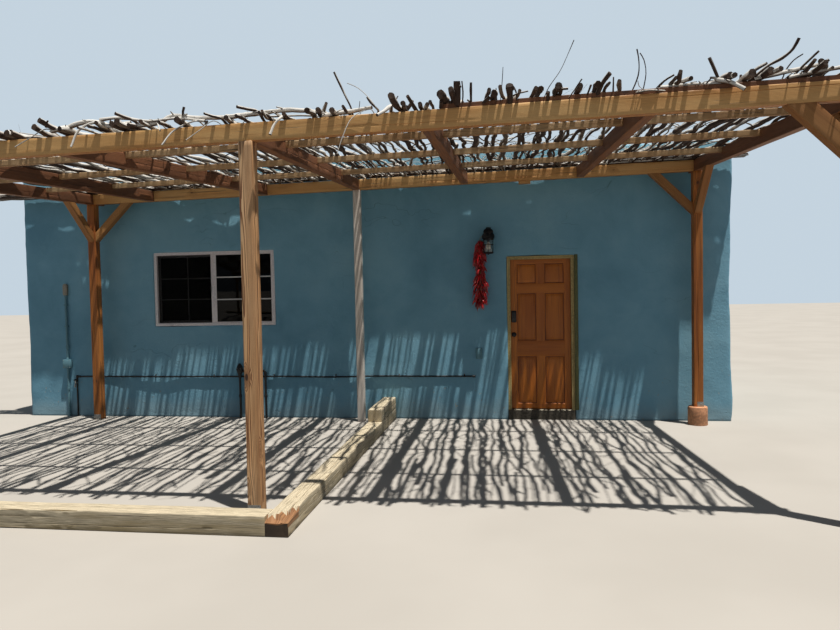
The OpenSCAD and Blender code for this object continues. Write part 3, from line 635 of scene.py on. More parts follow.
SPLIT_WOOD = wood("split_wood", "b98a5e", "936440", "5a3a22", knots=0.0, cracks=1.0, rough=0.8)
# Dark end-grain wood: painted shade for the kerb's end face
END_GRAIN_SHADE = wood("end_grain_painted_shade", "5c4b3a", "41352a", "251c15", knots=0.0, cracks=1.2, rough=0.85)
PINE = wood("varnished_pine", "e28420", "bc6408", "7c3a02", rough=0.45, rings=60, knots=0.9, cracks=0.0, gloss=0.15,
            figure=0.45)
# A darker copy of the pine: painted shade for the panels' quirks
PINE_GROOVE_SHADE = wood("varnished_pine_painted_groove_shade", "9c5412", "7a3e06", "4e2402", rough=0.5, rings=60, knots=0.0, cracks=0.0,
                   gloss=0.15, figure=0.45)
BARK = bark("branch_bark", "22150f", "4b3427", "d3ccc2")
BLEACHED = bark("bleached_branch", "3a2a20", "8d7c6d", "e3ded5", bleach_and_sunlit_top=0.85)
CUT = bark("branch_cut_end", "2a1a10", "5c412c", "8a6a4a", cut=True)
VINYL = tune(plain("window_vinyl", "f8efed", 0.38, speckle=60, dirt=0.12), Coat_Weight=1.0, Coat_Roughness=0.12)
GRILLE = plain("window_grille", "dcdad6", 0.4, speckle=60, dirt=0.1)
GASKET = plain("window_gasket", "1d1b1a", 0.6, speckle=60)
SCREEN = tune(plain("insect_screen", "0b0c0c", 0.95, speckle=300), Alpha=0.55, Specular_IOR_Level=0.1)
CASING = plain("casing_paint", "c4ae74", 0.6, speckle=45, dirt=0.25, bump=0.0004)
# A darker copy of the casing colour: painted shade for the reveal and the strip beside it
CASING_SHADE = plain("casing_painted_shade", "6a6c42", 0.6, speckle=45)
BLACK = plain("black_metal", "131315", 0.38, metal=0.3, speckle=200)
PLASTIC = plain("black_plastic", "101012", 0.5, speckle=160)
BUTTON = plain("lock_button", "3a3b3d", 0.3, metal=0.4, speckle=220)
STEEL = plain("galvanised_steel", "a5a5a1", 0.45, metal=0.8, speckle=70, dirt=0.4, rust="6b4630", rust_at=0.66)
SCREW = plain("dark_screw", "3b332d", 0.5, metal=0.7, speckle=90, rust="5a3420", rust_at=0.55)
HINGE = plain("hinge_steel", "8c8677", 0.38, metal=0.9, speckle=90)
PIPE_PAINT = plain("painted_pipe", "6b98a5", 0.6, speckle=90, bump=0.0005)
FADED = plain("faded_metal_paint", "a59e8e", 0.55, speckle=90, dirt=0.3)
CONCRETE = plain("rough_concrete", "a59d92", 0.9, speckle=30, vary=0.25, bump=0.003)
SILL = plain("worn_sill", "5d564a", 0.85, speckle=40, vary=0.3, bump=0.002, dirt=0.4)
TERRA = plain("terracotta_pier", "c9906a", 0.9, speckle=28, vary=0.25, bump=0.003, dirt=0.3)
ROOFING = plain("roof_coating", "b3afa5", 0.85, speckle=18, vary=0.12, bump=0.004, dirt=0.3)
BULB = plain("frosted_bulb", "ddd6cc", 0.3, speckle=40)
CHILE = pod_skin()
STEM = plain("chile_stem", "8a7a3c", 0.7, speckle=200, dirt=0.5)
TWINE = plain("hemp_twine", "b39a6c", 0.9, speckle=400, dirt=0.4, bump=0.001)
GLASS = pane("window_pane", "1f2c30", 0.01, 1.22)
CLEAR = pane("lantern_pane", "f0f1ee", 0.03, 1.45)


def dress(node, material):
    """Gives a carried-over CAD node its material."""
    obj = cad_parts[node]
    obj.data.materials.clear()
    obj.data.materials.append(material)


# ---------------------------------------------------------------- adobe shell
def spaced(marks, step):
    """Grid lines through all the marks, with lines of about the given step between them."""
    marks = sorted(set(round(m, 5) for m in marks))
    out = [marks[0]]
    for a, b in zip(marks, marks[1:]):
        n = max(1, round((b - a) / step))
        out += [a + (b - a) * (i + 1) / n for i in range(n)]
    return np.array(out)


def adobe():
    """One watertight skin for all the walls, with openings, soft arrises and hand-made waves."""
    rough_x, rough_w = LEAF_X - GAP - JAMB, LEAF_W + 2 * (GAP + JAMB)
    rough_top = LEAF_Z + LEAF_H + GAP + JAMB
    win_top = WIN_Z + WIN_H
    right = -LEFT
    soft, turn, lip = 0.03, 0.055, 0.035
    x_marks = [LEFT, LEFT + turn, LEFT + WALL_T, -LEFT - WALL_T, right - turn, right]
    for x in (WIN_X, WIN_X + WIN_W, -WIN_X, -WIN_X - WIN_W, rough_x, rough_x + rough_w):
        x_marks += [x - soft, x, x + soft]
    for c in (-CANALE_X, CANALE_X):
        x_marks += [c - CANALE_HALF, c + CANALE_HALF, c - 0.115, c + 0.115]
    y_marks = [FRONT, FRONT + lip, FRONT + WALL_T - lip, FRONT + WALL_T, REAR - WALL_T, REAR - WALL_T + lip,
               REAR - lip, REAR]
    z_marks = [0, 0.05, FLOOR_H, WIN_Z - soft, WIN_Z, WIN_Z + soft, win_top - soft, win_top, win_top + soft,
               rough_top - soft, rough_top, rough_top + soft, CANALE_Z0, CANALE_Z1,
               WALL_H - 0.05, WALL_H]
    xs, ys, zs = (spaced(marks, 0.16) for marks in (x_marks, y_marks, z_marks))
    cx, cy, cz = ((a[1:] + a[:-1]) / 2 for a in (xs, ys, zs))
    gx, gy, gz = np.meshgrid(cx, cy, cz, indexing="ij")
    solid = (np.abs(gx) > right - WALL_T) | (np.abs(gy) > REAR - WALL_T)
    front, rear = gy < FRONT + WALL_T, gy > REAR - WALL_T

    def hole(where, x0, x1, z0, z1):
        solid[where & (gx > x0) & (gx < x1) & (gz > z0) & (gz < z1)] = False

    hole(front, WIN_X, WIN_X + WIN_W, WIN_Z, win_top)
    hole(rear, WIN_X, WIN_X + WIN_W, WIN_Z, win_top)
    hole(rear, -WIN_X - WIN_W, -WIN_X, WIN_Z, win_top)
    hole(front, rough_x, rough_x + rough_w, 0, rough_top)
    for c in (-CANALE_X, CANALE_X):
        hole(rear, c - CANALE_HALF, c + CANALE_HALF, CANALE_Z0, CANALE_Z1)
    pad = np.pad(solid, 1)
    index, verts, faces = {}, [], []

    def vert(i, j, k):
        key = (i, j, k)
        if key not in index:
            index[key] = len(verts)
            verts.append((xs[i], ys[j], zs[k]))
        return index[key]

    dirs = [((1, 0, 0), ((1, 0, 0), (1, 1, 0), (1, 1, 1), (1, 0, 1))),
            ((-1, 0, 0), ((0, 0, 0), (0, 0, 1), (0, 1, 1), (0, 1, 0))),
            ((0, 1, 0), ((0, 1, 0), (0, 1, 1), (1, 1, 1), (1, 1, 0))),
            ((0, -1, 0), ((0, 0, 0), (1, 0, 0), (1, 0, 1), (0, 0, 1))),
            ((0, 0, 1), ((0, 0, 1), (1, 0, 1), (1, 1, 1), (0, 1, 1))),
            ((0, 0, -1), ((0, 0, 0), (0, 1, 0), (1, 1, 0), (1, 0, 0)))]
    for i, j, k in np.argwhere(solid):
        for (dx, dy, dz), quad in dirs:
            if not pad[i + 1 + dx, j + 1 + dy, k + 1 + dz]:
                faces.append(tuple(vert(i + a, j + b, k + c) for a, b, c in quad))
    mesh = bpy.data.meshes.new("adobe_shell")
    mesh.from_pydata(verts, [], faces)
    crease = mesh.attributes.new("crease_edge", "FLOAT", "EDGE")
    flat = [1.0 if verts[e.vertices[0]][2] == 0 and verts[e.vertices[1]][2] == 0 else 0.0 for e in mesh.edges]
    crease.data.foreach_set("value", flat)
    obj = bpy.data.objects.new("adobe_shell", mesh)
    bpy.context.scene.collection.objects.link(obj)
    sub = obj.modifiers.new("round", "SUBSURF")
    sub.levels = sub.render_levels = 1
    dg = bpy.context.evaluated_depsgraph_get()
    done = bpy.data.meshes.new_from_object(obj.evaluated_get(dg))
    obj.modifiers.clear()
    obj.data = done

    def each(name):
        values = np.zeros(len(done.vertices) * 3)
        done.vertices.foreach_get(name, values)
        return values.reshape(-1, 3)

    p, nrm = each("co"), each("normal")
    outside = np.maximum(np.abs(p[:, 0]) - (right - WALL_T), np.abs(p[:, 1]) - (REAR - WALL_T))
    amount = ease(outside / WALL_T * 1.15 - 0.1)
    amount = np.maximum(amount, ease((p[:, 2] - ROOF_TOP - 0.05) / 0.1))
    swell = waves(3, 26, 0.35, 2.6, 0.8)(p) * 0.0042 + waves(4, 20, 0.12, 0.4, 0.6)(p) * 0.0012
    swell = np.clip(swell, -0.012, 0.008)
    foot = ease(p[:, 2] / 0.08)
    moved = p + nrm * (swell * amount)[:, None]
    moved[:, 2] = np.where(p[:, 2] < 1e-4, 0, moved[:, 2])
    # The right-hand corner leans and bulges, as in the photograph
    edge = ease((p[:, 0] - (right - 0.45)) / 0.45) * (np.abs(p[:, 0]) > right - WALL_T)
    moved[:, 0] += edge * (0.010 * np.sin(p[:, 2] * 2.4 + 0.6) + 0.006 * np.sin(p[:, 2] * 6.3)) * foot
    done.vertices.foreach_set("co", moved.ravel())
    half_x, half_y = right - WALL_T + 1e-3, REAR - WALL_T + 1e-3
    room = (np.abs(p[:, 0]) <= half_x) & (np.abs(p[:, 1]) <= half_y) & (p[:, 2] < ROOF_TOP)
    done.materials.clear()
    done.materials.append(STUCCO)
    done.materials.append(ROOM_WALL)
    inner = [int(all(room[v] for v in f.vertices)) for f in done.polygons]
    done.polygons.foreach_set("material_index", inner)
    done.polygons.foreach_set("use_smooth", [True] * len(inner))
    done.update()
    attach(obj, "house")
    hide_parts("front_wall_left", "front_wall_under_window", "front_wall_over_window", "front_wall_middle",
                "front_wall_over_door", "front_wall_right", "left_wall", "right_wall", "rear_wall_left",
                "rear_wall_middle", "rear_wall_right", "rear_wall_at_windows")


adobe()
dress("floor_slab", CONCRETE)
dress("door_sill", SILL)
dress("roof_deck", ROOFING)

# ---------------------------------------------------------------- ramada timbers
TILT = Matrix.Translation((MID_X, ROW_Y, BEAM_Z)) @ Matrix.Rotation(-RAKE, 4, "Y") @ Matrix.Rotation(FALL, 4, "X")
UNTILT = TILT.inverted()
TILT_UP = (TILT.to_3x3() @ Vector((0, 0, 1)))


def fr(x, y, z):
    return tuple(TILT @ Vector((x, y, z)))


def under(x, y):
    """Height of the beams' underside over a place on the ground."""
    return BEAM_Z - (TILT_UP.x * (x - MID_X) + TILT_UP.y * (y - ROW_Y)) / TILT_UP.z


INNER = [[-0.76, -0.77], [-0.33, -0.42], [0.333, 0.325], [0.672, 0.70]]


def share(v):
    return v * (SPAN_L if v < 0 else SPAN_R)


RAFTERS = [(-SPAN_L, -SPAN_L)] + [(share(a), share(b)) for a, b in INNER[:2]] + [(0, 0)] \
    + [(share(a), share(b)) for a, b in INNER[2:]] + [(SPAN_R, FRONT_R)]


def rafter_at(ends, y):
    return ends[0] + (ends[1] - ends[0]) * (-y / FRAME_D)


def beams():
    b = Build()
    y0, y1 = -FRAME_D - BEAM_W / 2, -FRAME_D + BEAM_W / 2
    for i, (x0, x1) in enumerate(((-SPAN_L - 0.17, -0.001), (0.001, FRONT_R + 0.17))):
        ends = [[fr(x, y0, 0), fr(x, y1, 0), fr(x, y1, BEAM_H), fr(x, y0, BEAM_H)] for x in (x0, x1)]
        timber(b, ends, 11 + i, rough=0.0014, wane=0.003, pith=(0.03, -0.09),
               checks=((3, 0.24, 0.007, 0.5 * i + 0.1, 1.1 * i + 0.5), (3, 0.7, 0.004, 0.15, 0.4)))
    b.make("front_beam_timbers", [TIMBER], "timber", ["front_beam"])
    b = Build()
    for i, (x0, x1) in enumerate(((-SPAN_L + BEAM_W / 2, -0.001), (0.001, SPAN_R - BEAM_W / 2))):
        ends = [[fr(x, -BEAM_W / 2, 0), fr(x, BEAM_W / 2, 0), fr(x, BEAM_W / 2, BEAM_H), fr(x, -BEAM_W / 2, BEAM_H)]
                for x in (x0, x1)]
        timber(b, ends, 21 + i, checks=((3, 0.6, 0.004, 0.2, 0.7),), wane=0.002, pith=(0.04, 0.1))
    b.make("rear_beam_timbers", [TIMBER], "timber", ["rear_beam"])


def rafters():
    b = Build()
    h = BEAM_W / 2
    y_front = -FRAME_D + h
    last = len(RAFTERS) - 1
    for i, e in enumerate(RAFTERS):
        y_rear = 0 if i in (0, last) else -h
        r, f = rafter_at(e, y_rear), rafter_at(e, y_front)
        ends = [[fr(x - h, y, 0), fr(x + h, y, 0), fr(x + h, y, BEAM_H), fr(x - h, y, BEAM_H)]
                for x, y in ((r, y_rear), (f, y_front))]
        timber(b, ends, 31 + i, checks=((1, 0.4, 0.004, 0.2, 0.8), (3, 0.6, 0.004, 0.1, 0.6)), wane=0.002)
    for i, x in enumerate((-SPAN_L, SPAN_R)):
        low = WALL_GAP / math.cos(FALL)
        top = (WALL_GAP + BEAM_H * math.sin(FALL)) / math.cos(FALL)
        ends = [[fr(x - h, 0, 0), fr(x + h, 0, 0), fr(x + h, 0, BEAM_H), fr(x - h, 0, BEAM_H)],
                [fr(x - h, low, 0), fr(x + h, low, 0), fr(x + h, top, BEAM_H), fr(x - h, top, BEAM_H)]]
        timber(b, ends, 41 + i)
    b.make("rafter_timbers", [RED_TIMBER], "timber", ["rafters"])
    b = Build()
    for i in range(last):
        for j in range(1, PURLIN_N + 1):
            y = -FRAME_D * PURLIN_SPREAD * j / (PURLIN_N + 1)
            ys = (y - PURLIN_W / 2, y + PURLIN_W / 2)
            a = [rafter_at(RAFTERS[i], v) + h for v in ys]
            c = [rafter_at(RAFTERS[i + 1], v) - h for v in ys]
            z0, z1 = BEAM_H - PURLIN_H, BEAM_H
            ends = [[fr(x[0], ys[0], z0), fr(x[1], ys[1], z0), fr(x[1], ys[1], z1), fr(x[0], ys[0], z1)]
                    for x in (a, c)]
            timber(b, ends, 51 + i * 5 + j, arris=0.003, step=0.12, wane=0.002)
    b.make("purlin_timbers", [PURLIN], "timber", ["purlins"])


def upright(b, x, y, w, foot, seed, mat=0, **more):
    h = w / 2
    corners = ((-h, -h), (h, -h), (h, h), (-h, h))
    ends = [[(x + i, y + j, foot) for i, j in corners],
            [(x + i, y + j, under(x + i, y + j)) for i, j in corners]]
    timber(b, ends, seed, mat, pith=(0.012, -0.01), **more)


def posts():
    b = Build()
    cracks = ((0, 0.42, 0.007, 0.1, 0.55), (1, 0.55, 0.006, 0.3, 0.8), (3, 0.5, 0.006, 0.0, 0.5))
    for i, x in enumerate((LEFT_POST, MID_X, FRONT_RIGHT_POST)):
        upright(b, x, FRONT_ROW, POST_W, (0, 0, PIER_H)[i], 71 + i, arris=0.007, checks=cracks, wane=0.002)
    b.make("front_post_timbers", [POST], "timber", ["front_posts"])
    b = Build()
    upright(b, LEFT_POST, ROW_Y, POST_W, 0, 75, 0, arris=0.007, checks=cracks, wane=0.002)
    upright(b, MID_X, ROW_Y, MID_POST_W, 0, 76, 1, arris=0.006,
            checks=((0, 0.5, 0.007, 0.1, 0.7), (3, 0.5, 0.006, 0.2, 0.7)), wane=0.003)
    upright(b, RIGHT_POST, ROW_Y, POST_W, PIER_H, 77, 0, arris=0.007, checks=cracks, wane=0.002)
    b.make("rear_post_timbers", [RED_POST, PALE_POST], "timber", ["rear_posts"])
    b = Build()
    for x, y in ((RIGHT_POST, ROW_Y), (FRONT_RIGHT_POST, FRONT_ROW)):
        lathe(b, [(0, 0), (PIER_R, 0), (PIER_R, 0.01), (PIER_R - 0.002, PIER_H * 0.5),
                  (PIER_R - 0.001, PIER_H - 0.02), (PIER_R - 0.006, PIER_H - 0.006), (PIER_R - 0.018, PIER_H),
                  (0, PIER_H)],
              Matrix.Translation((x, y, 0)), 40)
    b.make("round_piers", [TERRA], "terracotta", ["post_piers"])


def braces():
    b = Build()
    face, run = POST_W / 2, BRACE_RUN
    rows = [(x, y, heading, deep) for x, y, headings, deep in (
        (LEFT_POST, ROW_Y, (0, -90), 0.095), (RIGHT_POST, ROW_Y, (180, -90), 0.095),
        (LEFT_POST, FRONT_ROW, (0, 90), 0.138), (FRONT_RIGHT_POST, FRONT_ROW, (180, 90), 0.138))
        for heading in headings]
    for i, (x, y, heading, deep) in enumerate(rows):
        out = Vector((math.cos(math.radians(heading)), math.sin(math.radians(heading)), 0))
        across = Vector((-out.y, out.x, 0)) * (BRACE_W / 2)
        z0, tall = under(x, y), deep * math.sqrt(2)
        slope = under(x + out.x, y + out.y) - z0
        foot = [Vector((x, y, z0 + z)) + out * face for z in (-run, -run + tall)]
        reach = [c / (1 - slope) for c in (face + run, face + run - tall)]
        tops = [Vector((x, y, z0 + slope * a)) + out * a for a in reach]
        ends = [[tuple(p - across), tuple(p + across), tuple(q + across), tuple(q - across)] for p, q in (foot, tops)]
        timber(b, ends, 91 + i, checks=((0, 0.5, 0.003, 0.2, 0.8),), wane=0.001)
    b.make("knee_brace_timbers", [BRACE_WOOD], "timber", ["knee_braces"])


beams()
rafters()
posts()
braces()


# ---------------------------------------------------------------- stick roof
STRIP_H = 0.036
STRIP_FROM = (UNTILT @ at_px(440, 105, FRONT_ROW)).x
STICK_X0, STICK_X1, STICK_N = -SPAN_L - BEAM_W / 2, SPAN_R + BEAM_W / 2, 108
GROUPS = [Build() for _ in range(4)]


def group_at(x):
    return GROUPS[min(3, max(0, int((x - STICK_X0) / (STICK_X1 - STICK_X0) * 4)))]


def nailing_strip():
    b = Build()
    y0, y1 = -FRAME_D - BEAM_W / 2 + 0.012, -FRAME_D + BEAM_W / 2
    for i, (x0, x1) in enumerate(((STRIP_FROM, 1.95), (1.953, FRONT_R + 0.165))):
        ends = [[fr(x, y0, BEAM_H), fr(x, y1, BEAM_H), fr(x, y1, BEAM_H + STRIP_H), fr(x, y0, BEAM_H + STRIP_H)]
                for x in (x0, x1)]
        timber(b, ends, 111 + i, arris=0.003, wane=0.003)
    b.make("nailing_strip", [RED_TIMBER], "timber")


def branch(b, points, r0, r1, seed, mat=0, sides=7, step=0.05, knobs=0.13):
    """A branch through points in the world; its radius goes from r0 to r1."""
    line = smooth_path(points, step)
    u = np.linspace(0, 1, len(line))
    long = np.linalg.norm(line[-1] - line[0])
    rad = (r0 + (r1 - r0) * u) * (1 + 0.09 * wob(u * long, seed, 0.07, 0.4))
    tube(b, line, rad, sides, mat, 2, seed, knobs=knobs)
    return line, rad


def twigs(b, r, line, rad, seed, count, mat, flip, reaches=(0.035, 0.05, 0.07, 0.16, 0.3, 0.45)):
    """Stubs and side shoots that leave a branch at a slant."""
    n = len(line)
    for k in range(count):
        at = r.randrange(n // 8, n - n // 8)
        way = r.choice([-1, 1])
        size = rad[at] * r.uniform(0.35, 0.65)
        reach = r.choice(reaches)
        d = Vector((way * r.uniform(0.3, 0.9), (1 if flip else -1) * r.uniform(0.5, 1.0), r.uniform(-0.05, 0.4)))
        d.normalize()
        s0 = Vector(line[at])
        pts = [s0, s0 + d * reach * 0.4 + Vector((0, 0, 0.006)),
               s0 + d * reach + Vector((r.uniform(-0.03, 0.03), 0, reach * r.uniform(-0.08, 0.1)))]
        branch(b, pts, size, size * 0.5, seed + 7 * k, mat, 6, 0.05)


def main_sticks():
    """The long branches, laid side by side over the purlins, butts and tips by turns."""
    r = random.Random(77)
    for i in range(STICK_N):
        f = (i + 0.5) / STICK_N
        x = STICK_X0 + f * (STICK_X1 - STICK_X0) + r.uniform(-0.022, 0.022)
        b, seed = group_at(x), 1000 + i * 13
        butt = r.choice([0.018, 0.021, 0.023, 0.026, 0.029])
        flip = r.random() < 0.45
        y_rear = BEAM_W / 2 + r.uniform(0.02, 0.145)
        short = r.random() < 0.3
        y_front = -FRAME_D * r.uniform(0.81, 0.95) if short else -FRAME_D - BEAM_W / 2 - r.uniform(0.02, 0.16)
        n = 60
        y = np.linspace(y_rear, y_front, n)
        t = np.linspace(0, 1, n)
        xs = x + f * SPLAY * (-y / FRAME_D) + wob(y, seed, 0.6, 2.4) * 0.03 + wob(y, seed + 1, 0.18, 0.6) * 0.012
        rad = butt * np.interp(t, [0, 1], [1.0, 0.55] if flip else [0.5, 1.0])
        rad = rad * (1 + 0.12 * wob(y, seed + 2, 0.1, 0.4))
        on_strip = ease((-y - FRAME_D * 0.82) / (FRAME_D * 0.18)) * (STRIP_H if xs[-1] > STRIP_FROM else 0)
        z = BEAM_H + rad + on_strip + np.abs(wob(y, seed + 3, 0.3, 1.4)) * 0.018 + r.uniform(0, 0.016)
        z = z + np.clip((-y - FRAME_D - 0.02) / 0.2, 0, 1) ** 1.4 * r.choice([0, 0, 0.01, 0.03, 0.06, -0.015])
        path = np.array([fr(a, c, d) for a, c, d in zip(xs, y, z)])
        # Bleached branches grow commoner towards the left: partly real bleached wood, partly painted sunlight and
        # shade from side to side
        mat = 1 if r.random() < 0.8 - 0.6 * f else 0
        tube(b, path, rad, 8, mat, 2, seed, knobs=0.17)
        twigs(b, r, path, rad, seed, r.choice([1, 2, 3, 3]), mat, flip)
        if not short and r.random() < 0.3:
            # A forked front end
            p, way = Vector(path[-8]), r.choice([-1, 1])
            q = p + Vector((way * r.uniform(0.04, 0.1), -0.12, r.uniform(0.0, 0.05)))
            branch(b, [p, p.lerp(q, 0.5) + Vector((0, 0, 0.01)), q, q + (q - p) * r.uniform(0.2, 0.9)],
                   rad[-8] * 0.8, rad[-8] * 0.45, seed + 3, mat)


def fill_sticks():
    """Shorter branches and brush, thickest towards the wall."""
    r = random.Random(12)
    for k in range(290):
        brush = k >= 80
        f = r.random()
        x = STICK_X0 + f * (STICK_X1 - STICK_X0)
        y = -FRAME_D * (r.random() ** 1.7) * 0.95
        ang = r.gauss(0, 0.65 if brush else 0.16)
        if brush and r.random() < 0.12:
            ang += math.pi / 2
        half = r.uniform(0.15, 0.7) if brush else r.uniform(0.5, 1.1)
        size = r.uniform(0.0035, 0.009) if brush else r.uniform(0.009, 0.017)
        z = BEAM_H + (r.uniform(0.02, 0.075) if brush else r.uniform(0.035, 0.05)) + size
        pts = []
        for q in np.linspace(-1, 1, 6):
            px = x + math.sin(ang) * q * half + r.uniform(-0.025, 0.025)
            py = y - math.cos(ang) * q * half
            px = min(max(px, STICK_X0 + 0.02), STICK_X1 + SPLAY * (-py / FRAME_D) - 0.02)
            py = min(max(py, -FRAME_D - 0.12), 0.13)
            pts.append(fr(px, py, z + r.uniform(-0.008, 0.02)))
        if (Vector(pts[0]) - Vector(pts[-1])).length < 0.12:
            continue
        # Bleached branches grow commoner towards the left: partly real bleached wood, partly painted sunlight and
        # shade from side to side
        mat = 1 if r.random() < 0.75 - 0.5 * f else 0
        line, rad = branch(group_at(x), pts, size, size * 0.55, 5000 + k * 3, mat, 6 if brush else 7, 0.07)
        if r.random() < 0.6:
            twigs(group_at(x), r, line, rad, 9000 + k, 2, mat, r.random() < 0.5)


def brush_at_wall():
    """Branches laid lengthwise, to close the gap between the last beam and the wall, past both ends of the beam."""
    r = random.Random(31)
    left, right, twig = STICK_X0 - 1.5, STICK_X1 + 0.56, (0.006, 0.0125)
    # How many, from where to where along the wall, from how far out to how near the wall, and how thick
    for count, x0, x1, out, near, sizes in (
            (350, STICK_X0, STICK_X1, 0.035, 0.192, twig), (60, STICK_X1 - 1.6, STICK_X1, 0.035, 0.192, twig),
            (90, left, right, 0.186, 0.206, (0.0045, 0.008)), (95, left, STICK_X0 + 0.5, -0.115, 0.195, twig),
            (90, STICK_X1 - 0.5, right, -0.05, 0.195, twig), (16, 0.9, 2.1, 0.07, 0.13, twig),
            (40, STICK_X0 + 0.3, 0.0, -0.07, -0.045, twig), (50, 3.3, STICK_X1, -0.095, -0.045, twig),
            (30, 3.75, STICK_X1, -0.135, -0.085, twig), (5, left, STICK_X0 + 1.6, -0.1, 0.16, (0.02, 0.026)),
            (4, STICK_X1 - 1.5, right, -0.04, 0.16, (0.017, 0.021))):
        stout = sizes[0] > 0.015
        for k in range(count):
            half = (x1 - x0) / 2 if stout else r.uniform(0.35, 0.9)
            half = min(half, (x1 - x0) / 2)
            x = r.uniform(x0 + half * 0.6, x1 - half * 0.6) if not stout else (x0 + x1) / 2
            y = out + (near - out) * (k + 0.5) / count if stout else r.uniform(out, near)
            size = r.uniform(*sizes)
            z = BEAM_H + (0.006 if stout else r.uniform(0.03, 0.07)) + size
            pts = [fr(min(max(x + half * q, x0), x1), min(y + r.uniform(-0.012, 0.012), 0.212 - size),
                      z + r.uniform(-0.005, 0.005)) for q in (-1, -0.6, -0.2, 0.2, 0.6, 1)]
            branch(group_at(x), pts, size, size * 0.6, 12000 + k * 3 + int(1000 * out), int(r.random() < 0.4), 6,
                   0.08)


# Branch ends that stand out along the front: start and end radius, material (1 is bleached), and places in
# the frame with how far each lies in front of the row of posts. A root runs back over the roof from the first.
# Pale and dark ends are partly real bleached wood and bark, partly painted sunlight and shade.
FRONT_ENDS = [
    (22, 20, 0, (61, 131, 0.0), (50, 126, 0.06), (39, 120, 0.14)),
    (14, 12, 0, (135, 121.5, 0.02), (124, 117, 0.08), (115, 113.5, 0.14)),
    (10, 9, 0, (183, 116, 0.02), (184, 107, 0.05)),
    (12, 12, 0, (222, 119, 0.0), (212, 116, 0.08), (204, 113.5, 0.14)),
    (13, 12, 0, (258, 112, 0.0), (247, 109, 0.08), (237, 106.5, 0.15)),
    (13, 14, 0, (268, 116, 0.04), (259, 112.5, 0.16)),
    (7, 4, 1, (47, 129, 0.06), (30, 138, 0.1), (15, 147, 0.13)),
    (13, 10, 1, (101, 122, 0.05), (80, 129, 0.1), (71, 147, 0.15)),
    (11, 7, 1, (196, 121, 0.05), (174, 130.5, 0.1), (162, 145, 0.15)),
    (6, 3, 1, (213, 121, 0.06), (200, 130, 0.11), (186, 140, 0.15)),
    (12, 10, 1, (282, 117, 0.05), (274, 125, 0.12), (270, 134.5, 0.16)),
    (7, 5, 1, (158, 121, 0.04), (160, 131, 0.12)),
    (9, 8, 0, (351, 108, 0.0), (343, 91, 0.03), (334, 72, 0.06)),
    (5, 3, 1, (378, 110, 0.03), (368, 97, 0.08), (358, 88, 0.1), (347, 83, 0.12)),
    (13, 8, 0, (378, 110, 0.0), (371, 103, 0.08), (367, 97, 0.1)),
    (5, 3, 1, (369, 109, 0.07), (352, 118, 0.12), (343, 136, 0.15), (337, 154, 0.17)),
    (16, 14, 1, (391, 106, 0.0), (384, 111, 0.08), (377, 115, 0.15)),
    (5, 4, 0, (391, 109, 0.04), (398, 96, 0.1)),
    (15, 14, 0, (416, 110, 0.0), (412, 103, 0.08), (407.5, 96, 0.14)),
    (17, 16, 1, (426, 108, 0.0), (427, 104, 0.12)),
    (14, 14, 0, (441, 108, 0.0), (441, 101, 0.12)),
    (27, 25, 0, (457, 106, 0.02), (457, 94, 0.07), (457, 81, 0.1)),
    (6, 5, 0, (462.5, 104, 0.02), (463, 92, 0.08), (462, 81, 0.1)),
    (11, 9, 0, (471, 106, 0.0), (471, 94, 0.06), (471, 82.5, 0.1)),
    (13, 13, 0, (481, 104, 0.0), (489, 98, 0.1)),
    (4, 3, 0, (497, 101, 0.04), (496, 88, 0.08)),
    (4, 2.5, 0, (500.5, 101, 0.04), (502, 84, 0.08), (503, 67, 0.12)),
    (30, 24, 0, (509, 106, 0.0), (510, 95, 0.06), (509.5, 85, 0.12)),
    (8, 6, 0, (517, 102, 0.02), (516, 92, 0.08), (513, 86, 0.1)),
    (16, 15, 0, (548, 103, 0.0), (548, 92, 0.08)),
    (9, 8, 0, (554, 101, 0.0), (555.5, 89, 0.08)),
    (5, 2.5, 0, (544, 98, 0.04), (549, 87, 0.08), (560, 71, 0.12), (568, 54, 0.14), (574, 40, 0.16)),
    (7, 5, 0, (566, 101, 0.0), (573, 92, 0.08), (582, 79, 0.14)),
    (9, 8, 0, (586, 98, 0.0), (591, 85, 0.1)),
    (18, 17, 0, (595, 98, 0.0), (602, 84, 0.08), (610, 73, 0.14)),
    (7, 6, 0, (613, 98, 0.0), (613.5, 77, 0.08)),
    (7, 5, 0, (631, 93, 0.0), (638, 76, 0.06), (639, 62, 0.1), (637, 49, 0.12)),
    (6, 4, 0, (642, 94, 0.0), (646, 74, 0.06), (644, 60, 0.1), (640, 53, 0.12)),
    (9, 7, 0, (654, 91, 0.0), (664, 81, 0.1), (674, 75, 0.16)),
    (6, 5, 0, (704, 86, 0.0), (712, 77, 0.1)),
    (12, 11, 0, (719, 82, 0.0), (714, 69, 0.06), (709, 58, 0.1)),
    (12, 10, 0, (743, 81, 0.0), (755, 70, 0.08), (767, 63, 0.14)),
    (15, 9, 0, (748, 82, 0.0), (766, 67, 0.06), (782, 58, 0.1), (793, 49, 0.13), (799, 38, 0.15)),
    (6, 5, 0, (786, 70, 0.0), (794, 60, 0.08), (803, 54, 0.14)),
    (10, 8, 0, (796, 73, 0.0), (808, 61, 0.08), (819, 51, 0.14)),
    (24, 23, 0, (824, 68, 0.0), (821, 61, 0.14)),
]
